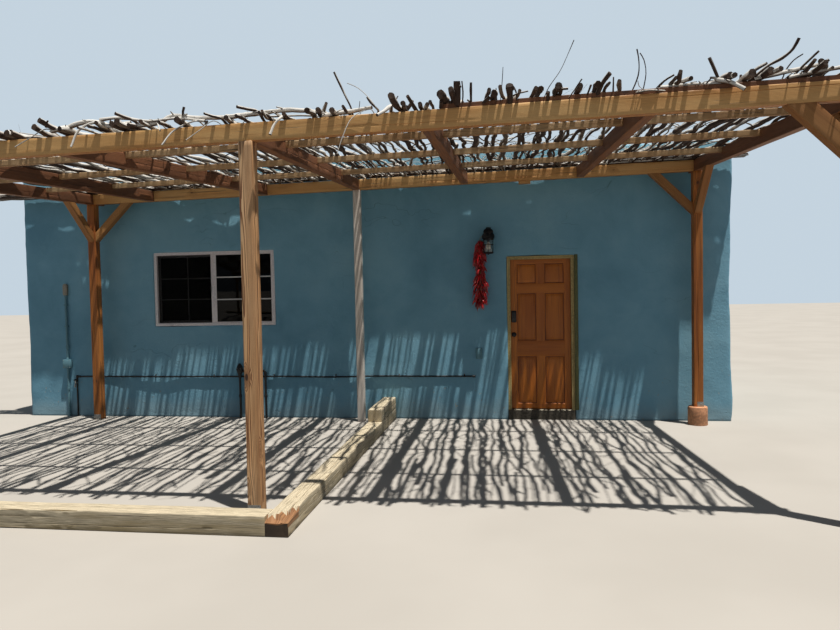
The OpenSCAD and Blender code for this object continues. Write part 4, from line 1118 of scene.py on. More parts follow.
# Bleached branches that lie along the front beam, with no root
ALONG_FRONT = [
    (21, 17, (52, 131, 0.02), (66, 128, 0.03), (80, 123, 0.03), (98, 122, 0.0), (112, 126, 0.02), (131, 123, 0.0)),
    (19, 15, (128, 126, 0.02), (145, 125, 0.03), (161, 122, 0.02), (172, 116, 0.0), (196, 118, 0.02),
     (234, 117, 0.0)),
    (13, 10, (100, 120, 0.05), (120, 118, 0.04), (150, 121, 0.05), (178, 118, 0.03), (205, 121, 0.04)),
    (20, 17, (226, 117, 0.02), (246, 115, 0.02), (268, 112, 0.0), (292, 110, 0.02), (318, 112, 0.0)),
    (17, 14, (322, 116, 0.02), (340, 113, 0.02), (358, 110, 0.0), (372, 107, 0.02)),
    (12, 10, (660, 87, 0.03), (690, 84.5, 0.02), (712, 84, 0.03), (735, 83, 0.02)),
    (18, 14, (717, 80, 0.03), (730, 82, 0.07), (745, 89, 0.11)),
    (15, 12, (754, 79, 0.03), (772, 75, 0.02), (795, 70, 0.03), (818, 65, 0.02)),
    (15, 13, (788, 78, 0.04), (805, 74, 0.03), (822, 71, 0.03), (842, 67, 0.02)),
    (7, 5, (634, 93, 0.03), (650, 90, 0.06), (668, 91, 0.03)),
]


def front_ends():
    r = random.Random(5)
    for i, (r0, r1, mat, *places) in enumerate(FRONT_ENDS):
        r0, r1 = r0 / 1000, r1 / 1000
        pts = [at_px(px, py, FRONT_ROW - out) for px, py, out in places]
        x = (UNTILT @ pts[0]).x
        lift = STRIP_H if x > STRIP_FROM else 0
        root = []
        for share_back, high in ((r.uniform(0.62, 0.76), 0.025), (0.88, 0.02), (0.965, 0.012 + lift)):
            root.append(fr(x + r.uniform(-0.02, 0.02), -FRAME_D * share_back, BEAM_H + high + r0))
        b = group_at(x)
        tail, _ = branch(b, root + pts, r0 * 0.8, r1, 7000 + i * 11, mat, 10 if r0 > 0.012 else 7, 0.03, 0.16)
        if r0 > 0.02:
            # A burl where a thick butt was cut
            p = Vector(tail[-3])
            branch(b, [p + Vector((-0.01, 0.01, -0.02)), p + Vector((0.012, -0.012, 0.006)),
                       p + Vector((0.03, -0.02, 0.02))],
                   r1 * 0.6, r1 * 0.4, 7500 + i, mat, 8, 0.02)
    for i, (r0, r1, *places) in enumerate(ALONG_FRONT):
        pts = [at_px(px, py, FRONT_ROW - out) for px, py, out in places]
        b = group_at((UNTILT @ pts[0]).x)
        line, rad = branch(b, pts, r0 / 1000, r1 / 1000, 8000 + i * 17, 1, 9, 0.035, 0.17)
        twigs(b, r, line, rad, 8200 + i * 31, 3, 1, False, (0.03, 0.045, 0.06))


nailing_strip()
main_sticks()
fill_sticks()
brush_at_wall()
front_ends()
for group, name in zip(GROUPS, ("far_left", "left", "right", "far_right")):
    group.make("branches_" + name, [BARK, BLEACHED, CUT], "sticks", ["latillas_" + name], sharp=50)


# ---------------------------------------------------------------- windows
WIN_FACE, WIN_SET, SASH_FACE = 0.042, 0.012, 0.034
MEETING = 0.078
AT_FRONT = Matrix.Translation((WIN_X, FRONT + WIN_SET, WIN_Z))
AT_REAR = [Matrix.Translation((x, REAR - WIN_SET, WIN_Z)) @ Matrix.Rotation(math.pi, 4, "Z")
           for x in (WIN_X + WIN_W, -WIN_X)]
# (share of the face, depth in mm): a rounded outer edge, a shadow groove, and a bevel down to the glass
FRAME_PROFILE = [(0, 3), (0.02, 1), (0.07, 0), (0.36, 0), (0.40, 2.2), (0.46, 2.2), (0.50, 0), (0.86, 0), (0.94, 1),
                 (1, 4), (1, 82), (0.93, 85), (0.07, 85), (0, 82)]
SASH_PROFILE = [(0, 2), (0.06, 0.3), (0.12, 0), (0.6, 0), (0.68, 1.2), (0.96, 9), (1, 10), (1, 16), (0.68, 24.5),
                (0.1, 26), (0, 24)]
SCREEN_PROFILE = [(0, 1), (0.1, 0), (0.9, 0), (1, 1), (1, 7), (0.9, 8), (0.1, 8), (0, 7)]


def rails(b, x0, x1, z0, z1, faces, profile, y, move, mat=0):
    """Sweeps a profile of (share of face, depth in mm) round a rectangle; faces are left, right, foot and head."""
    left, right, foot, head = faces
    pts = []
    for cx, cz, dx, dz in ((x0, z0, left, foot), (x1, z0, -right, foot), (x1, z1, -right, -head),
                           (x0, z1, left, -head)):
        pts += [tuple(move @ Vector((cx + dx * a, y + d / 1000, cz + dz * a))) for a, d in profile]
    b.add(pts, closed(4, len(profile)), None, mat)


def grille(b, x0, x1, z0, z1, y, move, columns):
    """Flat bars between the panes: columns - 1 uprights and two cross bars."""
    t, g0, g1 = 0.009, y, y + 0.007
    for i in range(1, columns):
        mid = x0 + (x1 - x0) * i / columns
        block(b, (mid - t, g0, z0), (mid + t, g1, z1), 0.002, 0, move)
    for k in (1, 2):
        zc = z0 + (z1 - z0) * k / 3
        block(b, (x0, g0 - 0.0002, zc - t), (x1, g1 + 0.0002, zc + t), 0.002, 0, move)


def windows():
    front, sashes, rear, bars, glass = Build(), Build(), Build(), Build(), Build()
    mid = WIN_W / 2 - 0.004
    for move, a, c in [(AT_FRONT, front, sashes)] + [(m, rear, rear) for m in AT_REAR]:
        rails(a, 0, WIN_W, 0, WIN_H, (WIN_FACE,) * 4, FRAME_PROFILE, 0, move)
        # Corner welds, sill nosing and weep covers
        for cx, sx in ((0, 1), (WIN_W, -1)):
            for cz, sz in ((0, 1), (WIN_H, -1)):
                for q in (0.3, 0.7):
                    x, z = cx + sx * WIN_FACE * q, cz + sz * WIN_FACE * q
                    block(a, (x - 0.0012, -0.0006, z - 0.0012), (x + 0.0012, 0.002, z + 0.0012), 0.0004, 0, move)
        for x in (0.25, WIN_W - 0.25):
            block(a, (x - 0.03, -0.004, 0.012), (x + 0.03, 0.002, 0.026), 0.002, 0, move)
            block(a, (x - 0.024, -0.0046, 0.0105), (x + 0.024, -0.002, 0.0135), 0.0005, 1, move)
        # The standing light on the right: thin beads at head and foot, a wide meeting stile
        x0, x1, z0, z1 = mid - MEETING / 2, WIN_W - WIN_FACE, WIN_FACE, WIN_H - WIN_FACE
        rails(c, x0, x1, z0, z1, (MEETING, 0.018, 0.013, 0.013), SASH_PROFILE, 0.008, move)
        rails(c, x0 + MEETING, x1 - 0.018, z0 + 0.013, z1 - 0.013, (0.004,) * 4, SCREEN_PROFILE, 0.0165, move, 1)
        gx0, gx1 = x0 + MEETING - 0.005, x1 - 0.013
        block(glass, (gx0, 0.0185, z0 + 0.008), (gx1, 0.0245, z1 - 0.008), 0.001, 0, move)
        grille(bars, x0 + MEETING + 0.0005, x1 - 0.0185, z0 + 0.0135, z1 - 0.0135, 0.0112, move, 2)
        # A thin lip runs up the meeting stile
        block(c, (x0 + 0.006, 0.0045, z0 + 0.002), (x0 + 0.016, 0.0095, z1 - 0.002), 0.0015, 0, move)
        # The slider on the left, set back behind its insect screen
        x0, x1 = WIN_FACE + 0.001, mid + SASH_FACE
        rails(c, x0, x1, z0 + 0.002, z1 - 0.002, (0.036, SASH_FACE, 0.036, 0.034), SASH_PROFILE, 0.048, move)
        gx0, gx1, gz0, gz1 = x0 + 0.036, x1 - SASH_FACE, z0 + 0.038, z1 - 0.036
        rails(c, gx0, gx1, gz0, gz1, (0.004,) * 4, SCREEN_PROFILE, 0.0565, move, 1)
        block(glass, (gx0 - 0.005, 0.0585, gz0 - 0.005), (gx1 + 0.005, 0.0645, gz1 + 0.005), 0.001, 0, move)
        grille(bars, gx0 + 0.0005, gx1 - 0.0005, gz0 + 0.0005, gz1 - 0.0005, 0.0512, move, 2)
        x1 = mid - MEETING / 2 + 0.012
        rails(c, WIN_FACE + 0.0015, x1, z0 + 0.003, z1 - 0.003, (0.017, 0.017, 0.017, 0.017), SCREEN_PROFILE, 0.0365,
              move, 1)
        block(c, (WIN_FACE + 0.016, 0.040, z0 + 0.017), (x1 - 0.014, 0.0406, z1 - 0.017), 0.0001, 2, move)
        # Track ribs in the sill and head, and the latch
        for zz in (WIN_FACE - 0.0005, WIN_H - WIN_FACE - 0.0035):
            block(a, (WIN_FACE, 0.0455, zz), (mid, 0.0475, zz + 0.004), 0.0005, 0, move)
            block(a, (WIN_FACE, 0.0755, zz), (WIN_W - WIN_FACE, 0.0775, zz + 0.004), 0.0005, 0, move)
        lx, lz = mid - MEETING / 2 - 0.003, WIN_H * 0.5
        block(c, (lx - 0.004, 0.004, lz - 0.05), (lx + 0.009, 0.0095, lz + 0.055), 0.002, 1, move)
        block(c, (lx - 0.012, 0.000, lz - 0.012), (lx + 0.005, 0.0075, lz + 0.024), 0.003, 1, move)
    mats = [VINYL, GASKET, SCREEN]
    front.make("window_frame_profile", mats[:2], "vinyl", ["window_frame"], sharp=25)
    sashes.make("window_sash_profiles", mats, "vinyl", ["window_sashes"], sharp=25)
    rear.make("rear_window_profiles", mats, "vinyl", ["rear_window_frames"], sharp=25)
    bars.make("window_grilles", [GRILLE], "vinyl", sharp=25)
    glass.make("window_panes", [GLASS], "window_glass", ["window_glass"], sharp=25)


windows()


# ---------------------------------------------------------------- door
def panel(b, x, z, w, h, y_face, way, seed):
    """A raised panel: ovolo bead, deep quirk, sloped field and flat centre, facing -Y for way 1 and +Y for way -1."""
    rows = [(0, 0), (0.002, 0.0004), (0.0045, 0.0022), (0.0075, 0.0062), (0.0085, 0.0108), (0.0095, 0.0125),
            (0.0155, 0.0128), (0.0175, 0.0115), (0.044, 0.0042), (0.0455, 0.0032), (0.0475, 0.003)]
    pts, grain = [], []
    for inset, deep in rows:
        for cx, cz in ((x + inset, z + inset), (x + w - inset, z + inset), (x + w - inset, z + h - inset),
                       (x + inset, z + h - inset)):
            pts.append((cx, y_face + way * deep, cz))
            grain.append((cz + seed * 2.3, cx - x + 0.02, way * 0.05 + deep))
    quads = strip(len(rows), 4, flip=way > 0)
    centre = tuple(range(len(pts) - 4, len(pts)))
    # The quirk takes the darker wood: painted shade in the groove
    painted_shade_groove = quads[12:28]
    faces = quads[:12] + quads[28:] + [centre if way > 0 else tuple(reversed(centre))]
    b.add(pts, faces + painted_shade_groove, grain, [0] * len(faces) + [1] * len(painted_shade_groove))


def door_leaf():
    b = Build()
    stile, mull = 0.09, 0.105
    pw = (LEAF_W - 2 * stile - mull) / 2
    rows = [(0.033, 0.32), (0.454, 0.32), (0.835, 0.135)]
    y0, y1 = LEAF_Y, LEAF_Y + LEAF_T
    z0, z1 = LEAF_Z, LEAF_Z + LEAF_H
    x0, x1 = LEAF_X, LEAF_X + LEAF_W

    def board(lo, hi, axis, seed):
        timber(b, box_ends(lo, hi, axis), seed, arris=0.0012, rough=0.0, step=0.5)

    board((x0, y0, z0), (x0 + stile, y1, z1), 2, 201)
    board((x1 - stile, y0, z0), (x1, y1, z1), 2, 202)
    levels = [0.0] + [v for row in rows for v in (row[0], row[0] + row[1])] + [1.0]
    for i in range(0, len(levels), 2):
        board((x0 + stile, y0, z0 + levels[i] * LEAF_H), (x1 - stile, y1, z0 + levels[i + 1] * LEAF_H), 0, 203 + i)
    mx = x0 + stile + pw
    for i, (a, h) in enumerate(rows):
        za, zb = z0 + a * LEAF_H, z0 + (a + h) * LEAF_H
        board((mx, y0, za), (mx + mull, y1, zb), 2, 215 + i)
        for j, px in enumerate((x0 + stile, mx + mull)):
            panel(b, px, za, pw, zb - za, y0, 1, 220 + i * 2 + j)
            panel(b, px, za, pw, zb - za, y1, -1, 230 + i * 2 + j)
    b.make("door_leaf_boards", [PINE, PINE_GROOVE_SHADE], "door_wood", ["door_leaf"], body="door", sharp=30)


def door_casing():
    """Jambs and head with the stop, a thin outer bead, and the threshold strip."""
    b = Build()
    yf, stop = FRONT + 0.01, 0.045
    ox0, ox1 = LEAF_X - GAP - JAMB, LEAF_X + LEAF_W + GAP + JAMB
    top = LEAF_Z + LEAF_H + GAP + JAMB
    deep = stop + GAP + LEAF_T
    lap = 0.012
    prof = [(0, 0.003), (0.003, 0), (0.016, 0), (0.019, 0.0035), (0.024, 0.0035), (0.027, 0.001),
            (JAMB + lap - 0.006, 0.001), (JAMB + lap - 0.002, 0.003), (JAMB + lap, 0.007), (JAMB + lap, stop),
            (JAMB, stop), (JAMB, deep), (0, deep)]
    pts = []
    for cx, cz, sx, sz in ((ox0, FLOOR_H, 1, 0), (ox0, top, 1, -1), (ox1, top, -1, -1), (ox1, FLOOR_H, -1, 0)):
        for a, d in prof:
            pts.append((cx + sx * a, yf + d, cz + sz * a))
    n = len(prof)
    faces = strip(4, n, flip=True) + [tuple(reversed(range(n))), tuple(range(3 * n, 4 * n))]
    # Faces of the reveal take the darker colour: painted shade in the reveal
    b.add(pts, faces, None, [int(i < 3 * n and i % n in (8, 9, 10)) for i in range(len(faces))])
    # A flat strip covers the joint on the latch-free side; it takes the same painted shade
    block(b, (ox1 + 0.0005, FRONT - 0.010, FLOOR_H + 0.004), (ox1 + 0.046, FRONT + 0.004, top + 0.004), 0.003, 1)
    b.make("door_casing", [CASING, CASING_SHADE], "frame_paint", ["door_frame"], sharp=25)
    b = Build()
    prof = [(0.003, 0), (0.006, 0.0035), (0.016, 0.004), (0.018, 0.0028), (0.022, 0.0028), (0.024, 0.004),
            (0.05, 0.004), (0.052, 0.0028), (0.056, 0.0028), (0.058, 0.004), (0.108, 0.004), (0.112, 0)]
    pts = [(x, FRONT + y, FLOOR_H + z) for x in (ox0 + JAMB + 0.0005, ox1 - JAMB - 0.0005) for y, z in prof]
    n = len(prof)
    b.add(pts, [(i, i + n, (i + 1) % n + n, (i + 1) % n) for i in range(n)]
          + [tuple(range(n)), tuple(reversed(range(n, 2 * n)))])
    b.make("door_threshold", [HINGE], "hinge_steel", sharp=25)


def lockset():
    """Keypad lock over a round knob on the outer face, and a thumb turn over a knob inside."""
    b = Build()
    x, z, y = LEAF_X + 0.05, LEAF_Z + 1.255, LEAF_Y
    block(b, (x - 0.034, y - 0.018, z - 0.08), (x + 0.034, y - 0.0002, z + 0.08), 0.008)
    block(b, (x - 0.031, y - 0.026, z - 0.077), (x + 0.031, y - 0.015, z + 0.077), 0.006)
    for i in range(2):
        for j in range(5):
            bx, bz = x - 0.0125 + 0.025 * i, z + 0.05 - 0.0225 * j
            lathe(b, [(0, -0.0015), (0.006, -0.0015), (0.0085, -0.0004), (0.009, 0.0012), (0, 0.0012)],
                  Matrix.Translation((bx, y - 0.0262, bz)) @ FACING["+Y"], 20, 1)
    for at in (Matrix.Translation((x, y, LEAF_Z + 1.01)) @ FACING["-Y"],
               Matrix.Translation((x, y + LEAF_T, LEAF_Z + 1.01)) @ FACING["+Y"]):
        lathe(b, [(0, 0.0003), (0.033, 0.0003), (0.033, 0.003), (0.0305, 0.0055), (0.026, 0.0068), (0.0225, 0.0075),
                  (0.015, 0.0085), (0.0125, 0.013), (0.0122, 0.023), (0.016, 0.0275), (0.0225, 0.0315),
                  (0.0262, 0.038), (0.027, 0.044), (0.0258, 0.0505), (0.0215, 0.0555), (0.0205, 0.0562),
                  (0.0195, 0.0555), (0.012, 0.0575), (0.004, 0.0585), (0, 0.0585)], at, 40)
    at = Matrix.Translation((x, y + LEAF_T, z)) @ FACING["+Y"]
    lathe(b, [(0, 0.0002), (0.03, 0.0002), (0.03, 0.004), (0.0275, 0.0072), (0.022, 0.008), (0, 0.008)], at, 36)
    block(b, (x - 0.008, y + LEAF_T + 0.007, z - 0.02), (x + 0.008, y + LEAF_T + 0.0258, z + 0.02), 0.004)
    # Latch and bolt plates in the edge of the leaf
    for zz in (z, LEAF_Z + 1.01):
        block(b, (LEAF_X - 0.0012, y + 0.010, zz - 0.028), (LEAF_X + 0.001, y + 0.034, zz + 0.028), 0.0005, 1)
    b.make("door_lock_parts", [BLACK, BUTTON], "black_metal", ["door_lockset"], body="door", sharp=35)


door_leaf()
door_casing()
lockset()
dress("door_hinge_leaves", HINGE)
dress("frame_hinges", HINGE)


# ---------------------------------------------------------------- canales
def canales():
    """Wooden roof drains through the rear parapet, lined with a folded metal sheet."""
    b = Build()
    y0, y1, z0, z1, t = REAR - WALL_T, REAR + CANALE_OUT, CANALE_Z0, CANALE_Z1, CANALE_T
    for i, c in enumerate((-CANALE_X, CANALE_X)):
        x0, x1 = c - CANALE_HALF, c + CANALE_HALF
        timber(b, box_ends((x0, y0, z0), (x0 + t, y1, z1), 1), 501 + i, arris=0.003, wane=0.001)
        timber(b, box_ends((x1 - t, y0, z0), (x1, y1, z1), 1), 511 + i, arris=0.003, wane=0.001)
        timber(b, box_ends((x0 + t, y0 + 0.001, z0), (x1 - t, y1 - 0.001, z0 + t), 1), 521 + i, arris=0.002)
        xa, xb, top, low, high = x0 + t, x1 - t, z1 - 0.012, 0.0005, 0.0018
        prof = [(xa + low, top), (xa + low, z0 + t + low), (xb - low, z0 + t + low), (xb - low, top),
                (xb - high, top), (xb - high, z0 + t + high), (xa + high, z0 + t + high), (xa + high, top)]
        pts = [(x, y, z) for y in (y0 + 0.004, y1 - 0.004) for x, z in prof]
        b.add(pts, [(k, (k + 1) % 8, (k + 1) % 8 + 8, k + 8) for k in range(8)]
              + [(0, 7, 6, 1), (1, 6, 5, 2), (2, 5, 4, 3), (8, 9, 14, 15), (9, 10, 13, 14), (10, 11, 12, 13)],
              mat=1)
    b.make("canale_troughs", [RED_TIMBER, STEEL], "dark_wood", ["canales"], sharp=30)


canales()


# ---------------------------------------------------------------- lantern and chile string
LANTERN = Vector((LEAF_X - 0.275, FRONT - 0.115, 2.6))
LANTERN_R, LANTERN_H = 0.062, 0.37


def rod(b, points, radius, mat=0, sides=10):
    """A smooth metal rod or pipe through the points."""
    line = smooth_path(points, max(0.006, radius))
    tube(b, line, radius, sides, mat)


def hoop(b, centre, radius, thick, mat=0, n=40, high=None):
    """A rounded metal ring."""
    high = high or thick
    pts = [(radius + thick * math.cos(a), centre.z + high * math.sin(a))
           for a in np.linspace(0, TURN, 9)[:-1]]
    p = []
    for i in range(n):
        c, s = math.cos(TURN * i / n), math.sin(TURN * i / n)
        p += [(centre.x + q * c, centre.y + q * s, z) for q, z in pts]
    b.add(p, closed(n, 8), None, mat)


def stood(turn, line):
    """Points at (radius, height) round the lantern, at one angle."""
    return [(LANTERN.x + q * math.cos(turn), LANTERN.y + q * math.sin(turn), LANTERN.z + z) for q, z in line]


def lantern():
    at = Matrix.Translation(LANTERN)
    r, h = LANTERN_R + 0.004, LANTERN_H
    b = Build()
    # Two-stepped, domed cap with its vent and finial
    lathe(b, [(0, -0.15), (0.07, -0.15), (0.078, -0.155), (0.083, -0.154), (0.086, -0.149), (0.084, -0.143),
              (0.080, -0.139), (0.0795, -0.122), (0.0765, -0.106), (0.070, -0.092), (0.062, -0.083), (0.060, -0.079),
              (0.0665, -0.076), (0.068, -0.072), (0.066, -0.067), (0.062, -0.064), (0.0595, -0.052), (0.052, -0.038),
              (0.040, -0.027), (0.026, -0.020), (0.018, -0.018), (0.017, -0.011), (0.0215, -0.009), (0.0215, -0.006),
              (0.015, -0.002), (0.007, 0), (0, 0)], at, 44)
    # Ribs of both domes
    for i in range(14):
        for line in (((0.081, -0.139), (0.081, -0.122), (0.078, -0.105), (0.071, -0.091), (0.062, -0.081)),
                     ((0.0635, -0.064), (0.061, -0.052), (0.053, -0.037), (0.040, -0.026), (0.026, -0.0185))):
            rod(b, stood(TURN * i / 14, line), 0.0028, sides=6)
    # Cage: hoops, curved bars and the foot
    for z, q in ((-0.164, r + 0.003), (-0.235, r + 0.005), (-h + 0.034, r - 0.001)):
        hoop(b, LANTERN + Vector((0, 0, z)), q, 0.003, high=0.0042)
    for i in range(6):
        bar = ((r + 0.004, -0.15), (r + 0.0065, -0.19), (r + 0.0065, -0.26), (r + 0.003, -0.325),
               (r - 0.006, -h + 0.02))
        rod(b, stood(math.radians(30 + 60 * i), bar), 0.0036, sides=8)
    lathe(b, [(0, -h), (0.007, -h + 0.001), (0.009, -h + 0.008), (0.018, -h + 0.012), (r - 0.014, -h + 0.015),
              (r - 0.001, -h + 0.022), (r + 0.003, -h + 0.029), (r + 0.001, -h + 0.038), (r - 0.008, -h + 0.039),
              (0, -h + 0.037)], at, 40)
    # Arm from the wall plate
    y_wall = 0.115
    rod(b, [LANTERN + Vector(q) for q in ((0, y_wall - 0.008, -0.05), (0, y_wall - 0.03, -0.03), (0, 0.06, -0.022),
                                         (0, 0.03, -0.024), (0, 0, -0.03))], 0.0068)
    rod(b, [LANTERN + Vector(q) for q in ((0, y_wall - 0.008, -0.135), (0, y_wall - 0.02, -0.118), (0, 0.085, -0.108),
                                         (0, 0.076, -0.105))], 0.0045)
    block(b, (-0.032, y_wall - 0.012, -0.15), (0.032, y_wall - 0.001, 0.0095), 0.005, 0, at)
    for z in (-0.14, 0.0):
        lathe(b, [(0, -0.0135), (0.003, -0.0135), (0.0052, -0.012), (0.0052, -0.009), (0, -0.009)],
              at @ Matrix.Translation((0, y_wall, z)) @ FACING["+Y"], 12)
    b.make("lantern_metalwork", [BLACK], "black_metal", ["wall_lantern"], sharp=30, turn_out=True)

    b = Build()
    lathe(b, [(r - 0.003, -0.152), (r, -0.152), (r + 0.001, -0.22), (r - 0.0015, -0.29), (r - 0.006, -h + 0.039),
              (r - 0.009, -h + 0.039), (r - 0.0045, -0.29), (r - 0.002, -0.22), (r - 0.003, -0.152)], at, 40,
              caps=False)
    b.make("lantern_glass_chimney", [CLEAR], "lantern_glass", ["lantern_glass"], sharp=40, turn_out=True)
    b = Build()
    lathe(b, [(0, -0.300), (0.013, -0.299), (0.025, -0.290), (0.0315, -0.276), (0.0325, -0.260), (0.0295, -0.240),
              (0.021, -0.219), (0.0145, -0.204), (0.0132, -0.194), (0, -0.194)], at, 28)
    b.make("lantern_bulb", [BULB], "lantern_glass", turn_out=True)
    b = Build()
    lathe(b, [(0, -0.196), (0.0142, -0.196), (0.0148, -0.188), (0.0142, -0.18), (0.019, -0.176), (0.019, -0.149),
              (0, -0.149)], at, 24)
    b.make("lantern_socket", [BLACK], "black_metal", turn_out=True)


def chile(b, r, base, out, long, wide, seed):
    """One dried pod: a stem, a shouldered body that tapers to a hooked tip, and creased skin."""
    side = Vector((r.uniform(-1, 1), r.uniform(-1, 1), r.uniform(-0.3, 0.3)))
    side = (side - out * side.dot(out)).normalized()
    pts = []
    for k in range(7):
        t = k / 6
        q = base + out * (long * t) + side * (long * 0.16 * math.sin(t * 2.6)) - Vector((0, 0, long * 0.22 * t * t))
        q.y = min(q.y, FRONT - 0.014)
        pts.append(q)
    line = smooth_path(pts, long / 9)
    t = np.linspace(0, 1, len(line))
    rad = wide * np.interp(t, [0, 0.07, 0.2, 0.55, 0.85, 1], [0.45, 0.85, 1.0, 0.78, 0.38, 0.1])
    tube(b, line, rad, 8, 0, None, seed, knobs=0.2, squash=r.uniform(0.6, 0.85))
    stem = [base + (base - Vector(line[1])).normalized() * 0.018, base, Vector(line[1])]
    stem[0].y = min(stem[0].y, FRONT - 0.012)
    line = smooth_path(stem, 0.009)
    tube(b, line, np.linspace(0.0022, 0.0032, len(line)), 6, 1)


def ristra():
    """A string of dried chiles: a short upper bundle, and a longer one that hangs lower and to its right."""
    r = random.Random(21)
    b = Build()
    y = FRONT - 0.096
    hook = LANTERN + Vector((-0.012, 0.07, -0.02))
    knot = at_px(480, 241, y + 0.02)
    cords = [([knot, at_px(478.6, 249, y), at_px(478.6, 261, y)], 95, 0.095, 0.0),
             ([knot, at_px(480, 256, y + 0.03), at_px(480.5, 280, y), at_px(480.5, 303, y)], 290, 0.125, 0.12)]
    tube(b, smooth_path([hook, knot + Vector((0, 0, 0.03)), knot], 0.02), 0.0032, 7, 2)
    count = 0
    for line, n, reach, start in cords:
        axis = smooth_path(line, 0.02)
        tube(b, axis, 0.006, 7, 2)
        for k in range(n):
            t = start + (1 - start) * (k + r.random()) / n
            at = Vector(axis[min(len(axis) - 1, int(t * len(axis)))]) + Vector((0, 0, r.uniform(-0.012, 0.012)))
            ang = r.uniform(0, TURN)
            wide = reach * (0.75 + 0.25 * math.sin(t * 9 + 1)) * min(1, 0.45 + 3.2 * (t - start))
            spread = Vector((math.cos(ang), math.sin(ang) * 0.85, 0))
            base = at + spread * r.uniform(0.2, 0.62) * wide
            base.y = min(base.y, FRONT - 0.03)
            out = (spread * r.uniform(0.3, 0.9) + Vector((0, 0, -r.uniform(0.8, 1.5)))).normalized()
            long = r.uniform(0.065, 0.1)
            if ((base + out * long - at).xy).length > reach * 1.12:
                out = (out + Vector((0, 0, -1.4))).normalized()
            count += 1
            chile(b, r, base, out, long, r.uniform(0.0105, 0.0155), 300 + count)
    b.make("chile_string", [CHILE, STEM, TWINE], "chile", ["chile_ristra"], sharp=60)


# ---------------------------------------------------------------- service fittings on the wall
def screw(b, x, y, z, size, mat):
    """A screw head in a plane that faces -Y."""
    depth = 0.0022
    lathe(b, [(0, -depth), (size * 0.7, -depth), (size, -depth * 0.5), (size, 0.001), (0, 0.001)],
          Matrix.Translation((x, y, z)) @ FACING["+Y"], 12, mat)


def strap(b, x, y_back, z, r_pipe):
    """A one-hole pipe strap, bent over a pipe that stands up the wall."""
    reach, thick, h = r_pipe + 0.002, 0.0022, 0.009
    loop = [(x + reach, y_back)]
    loop += [(x + reach * math.cos(a), y_back - r_pipe - reach * math.sin(a)) for a in np.linspace(0, math.pi, 9)]
    loop.append((x - r_pipe - 0.03, y_back - 0.001))
    verts = []
    for px, py in loop:
        cx, cy = px - x, py - (y_back - r_pipe)
        length = math.hypot(cx, cy) or 1
        verts += [(px + grow * thick * cx / length, py + grow * (thick * min(cy, 0) / length - 0.0006), z + dz)
                  for dz, grow in ((-h, 0), (-h, 1), (h, 1), (h, 0))]
    m = len(loop)
    b.add(verts, strip(m, 4, flip=True) + [(3, 2, 1, 0), tuple(range(m * 4 - 4, m * 4))])
    screw(b, x - r_pipe - 0.018, y_back - 0.0035, z, 0.0045, 0)


def conduit():
    """Painted conduit with its couplings, the fitting at its top, its junction box and its straps."""
    b = Build()
    r, cr = 0.017, 0.023
    x, y = LEFT + 0.65, FRONT - cr
    top = 1.99
    at = Matrix.Translation((x, y, 0))
    lathe(b, [(0, 0), (r, 0), (r, 0.4), (r, 0.9), (r, 1.4), (r, top - 0.185), (0, top - 0.185)], at, 24)
    rim, band = r + 0.003, r + 0.006
    for z0, z1 in ((1.01, 1.06), (0.85, 0.872), (0.698, 0.72), (top - 0.215, top - 0.186)):
        lathe(b, [(0, z0), (rim, z0), (band, z0 + 0.004), (band, z1 - 0.004), (rim, z1), (0, z1)], at, 24)
    # The rounded fitting that turns into the wall, with its screwed cover
    w, z0, z1 = 0.031, top - 0.19, top - 0.018
    loop = [(w * math.cos(a), z1 - w + w * math.sin(a)) for a in np.linspace(0, math.pi, 15)]
    loop += [(-w, z0 + 0.02), (-w + 0.012, z0), (w - 0.012, z0), (w, z0 + 0.02)]
    rings, zc = [], (z0 + z1) / 2
    for depth, grow in ((0.0, 1.0), (-0.006, 1.02), (-0.03, 1.02), (-0.0335, 1.08), (-0.036, 1.08), (-0.0395, 1.02),
                        (-0.041, 0.9)):
        for px, pz in loop:
            rings.append((x + px * grow, FRONT - 0.001 + depth, zc + (pz - zc) * (1 + (grow - 1) * 0.45)))
    n = len(loop)
    b.add(rings, strip(7, n, flip=True) + [tuple(reversed(range(n))), tuple(range(6 * n, 7 * n))], mat=2)
    for z in (z0 + 0.03, z1 - 0.02):
        screw(b, x, FRONT - 0.0418, z, 0.005, 1)
    # Junction box: lid with a lip and four screws
    block(b, (x - 0.058, FRONT - 0.058, 0.722), (x + 0.058, FRONT - 0.0005, 0.848), 0.008)
    block(b, (x - 0.06, FRONT - 0.0605, 0.72), (x + 0.06, FRONT - 0.0525, 0.85), 0.004)
    for dx in (-0.048, 0.048):
        for z in (0.733, 0.837):
            screw(b, x + dx, FRONT - 0.061, z, 0.0045, 1)
    for z in (0.42, 1.34, 1.66):
        strap(b, x, FRONT - 0.002, z, r + 0.0045)
    b.make("conduit_run", [PIPE_PAINT, STEEL, FADED], "painted_pipe", ["conduit"], sharp=30, turn_out=True)


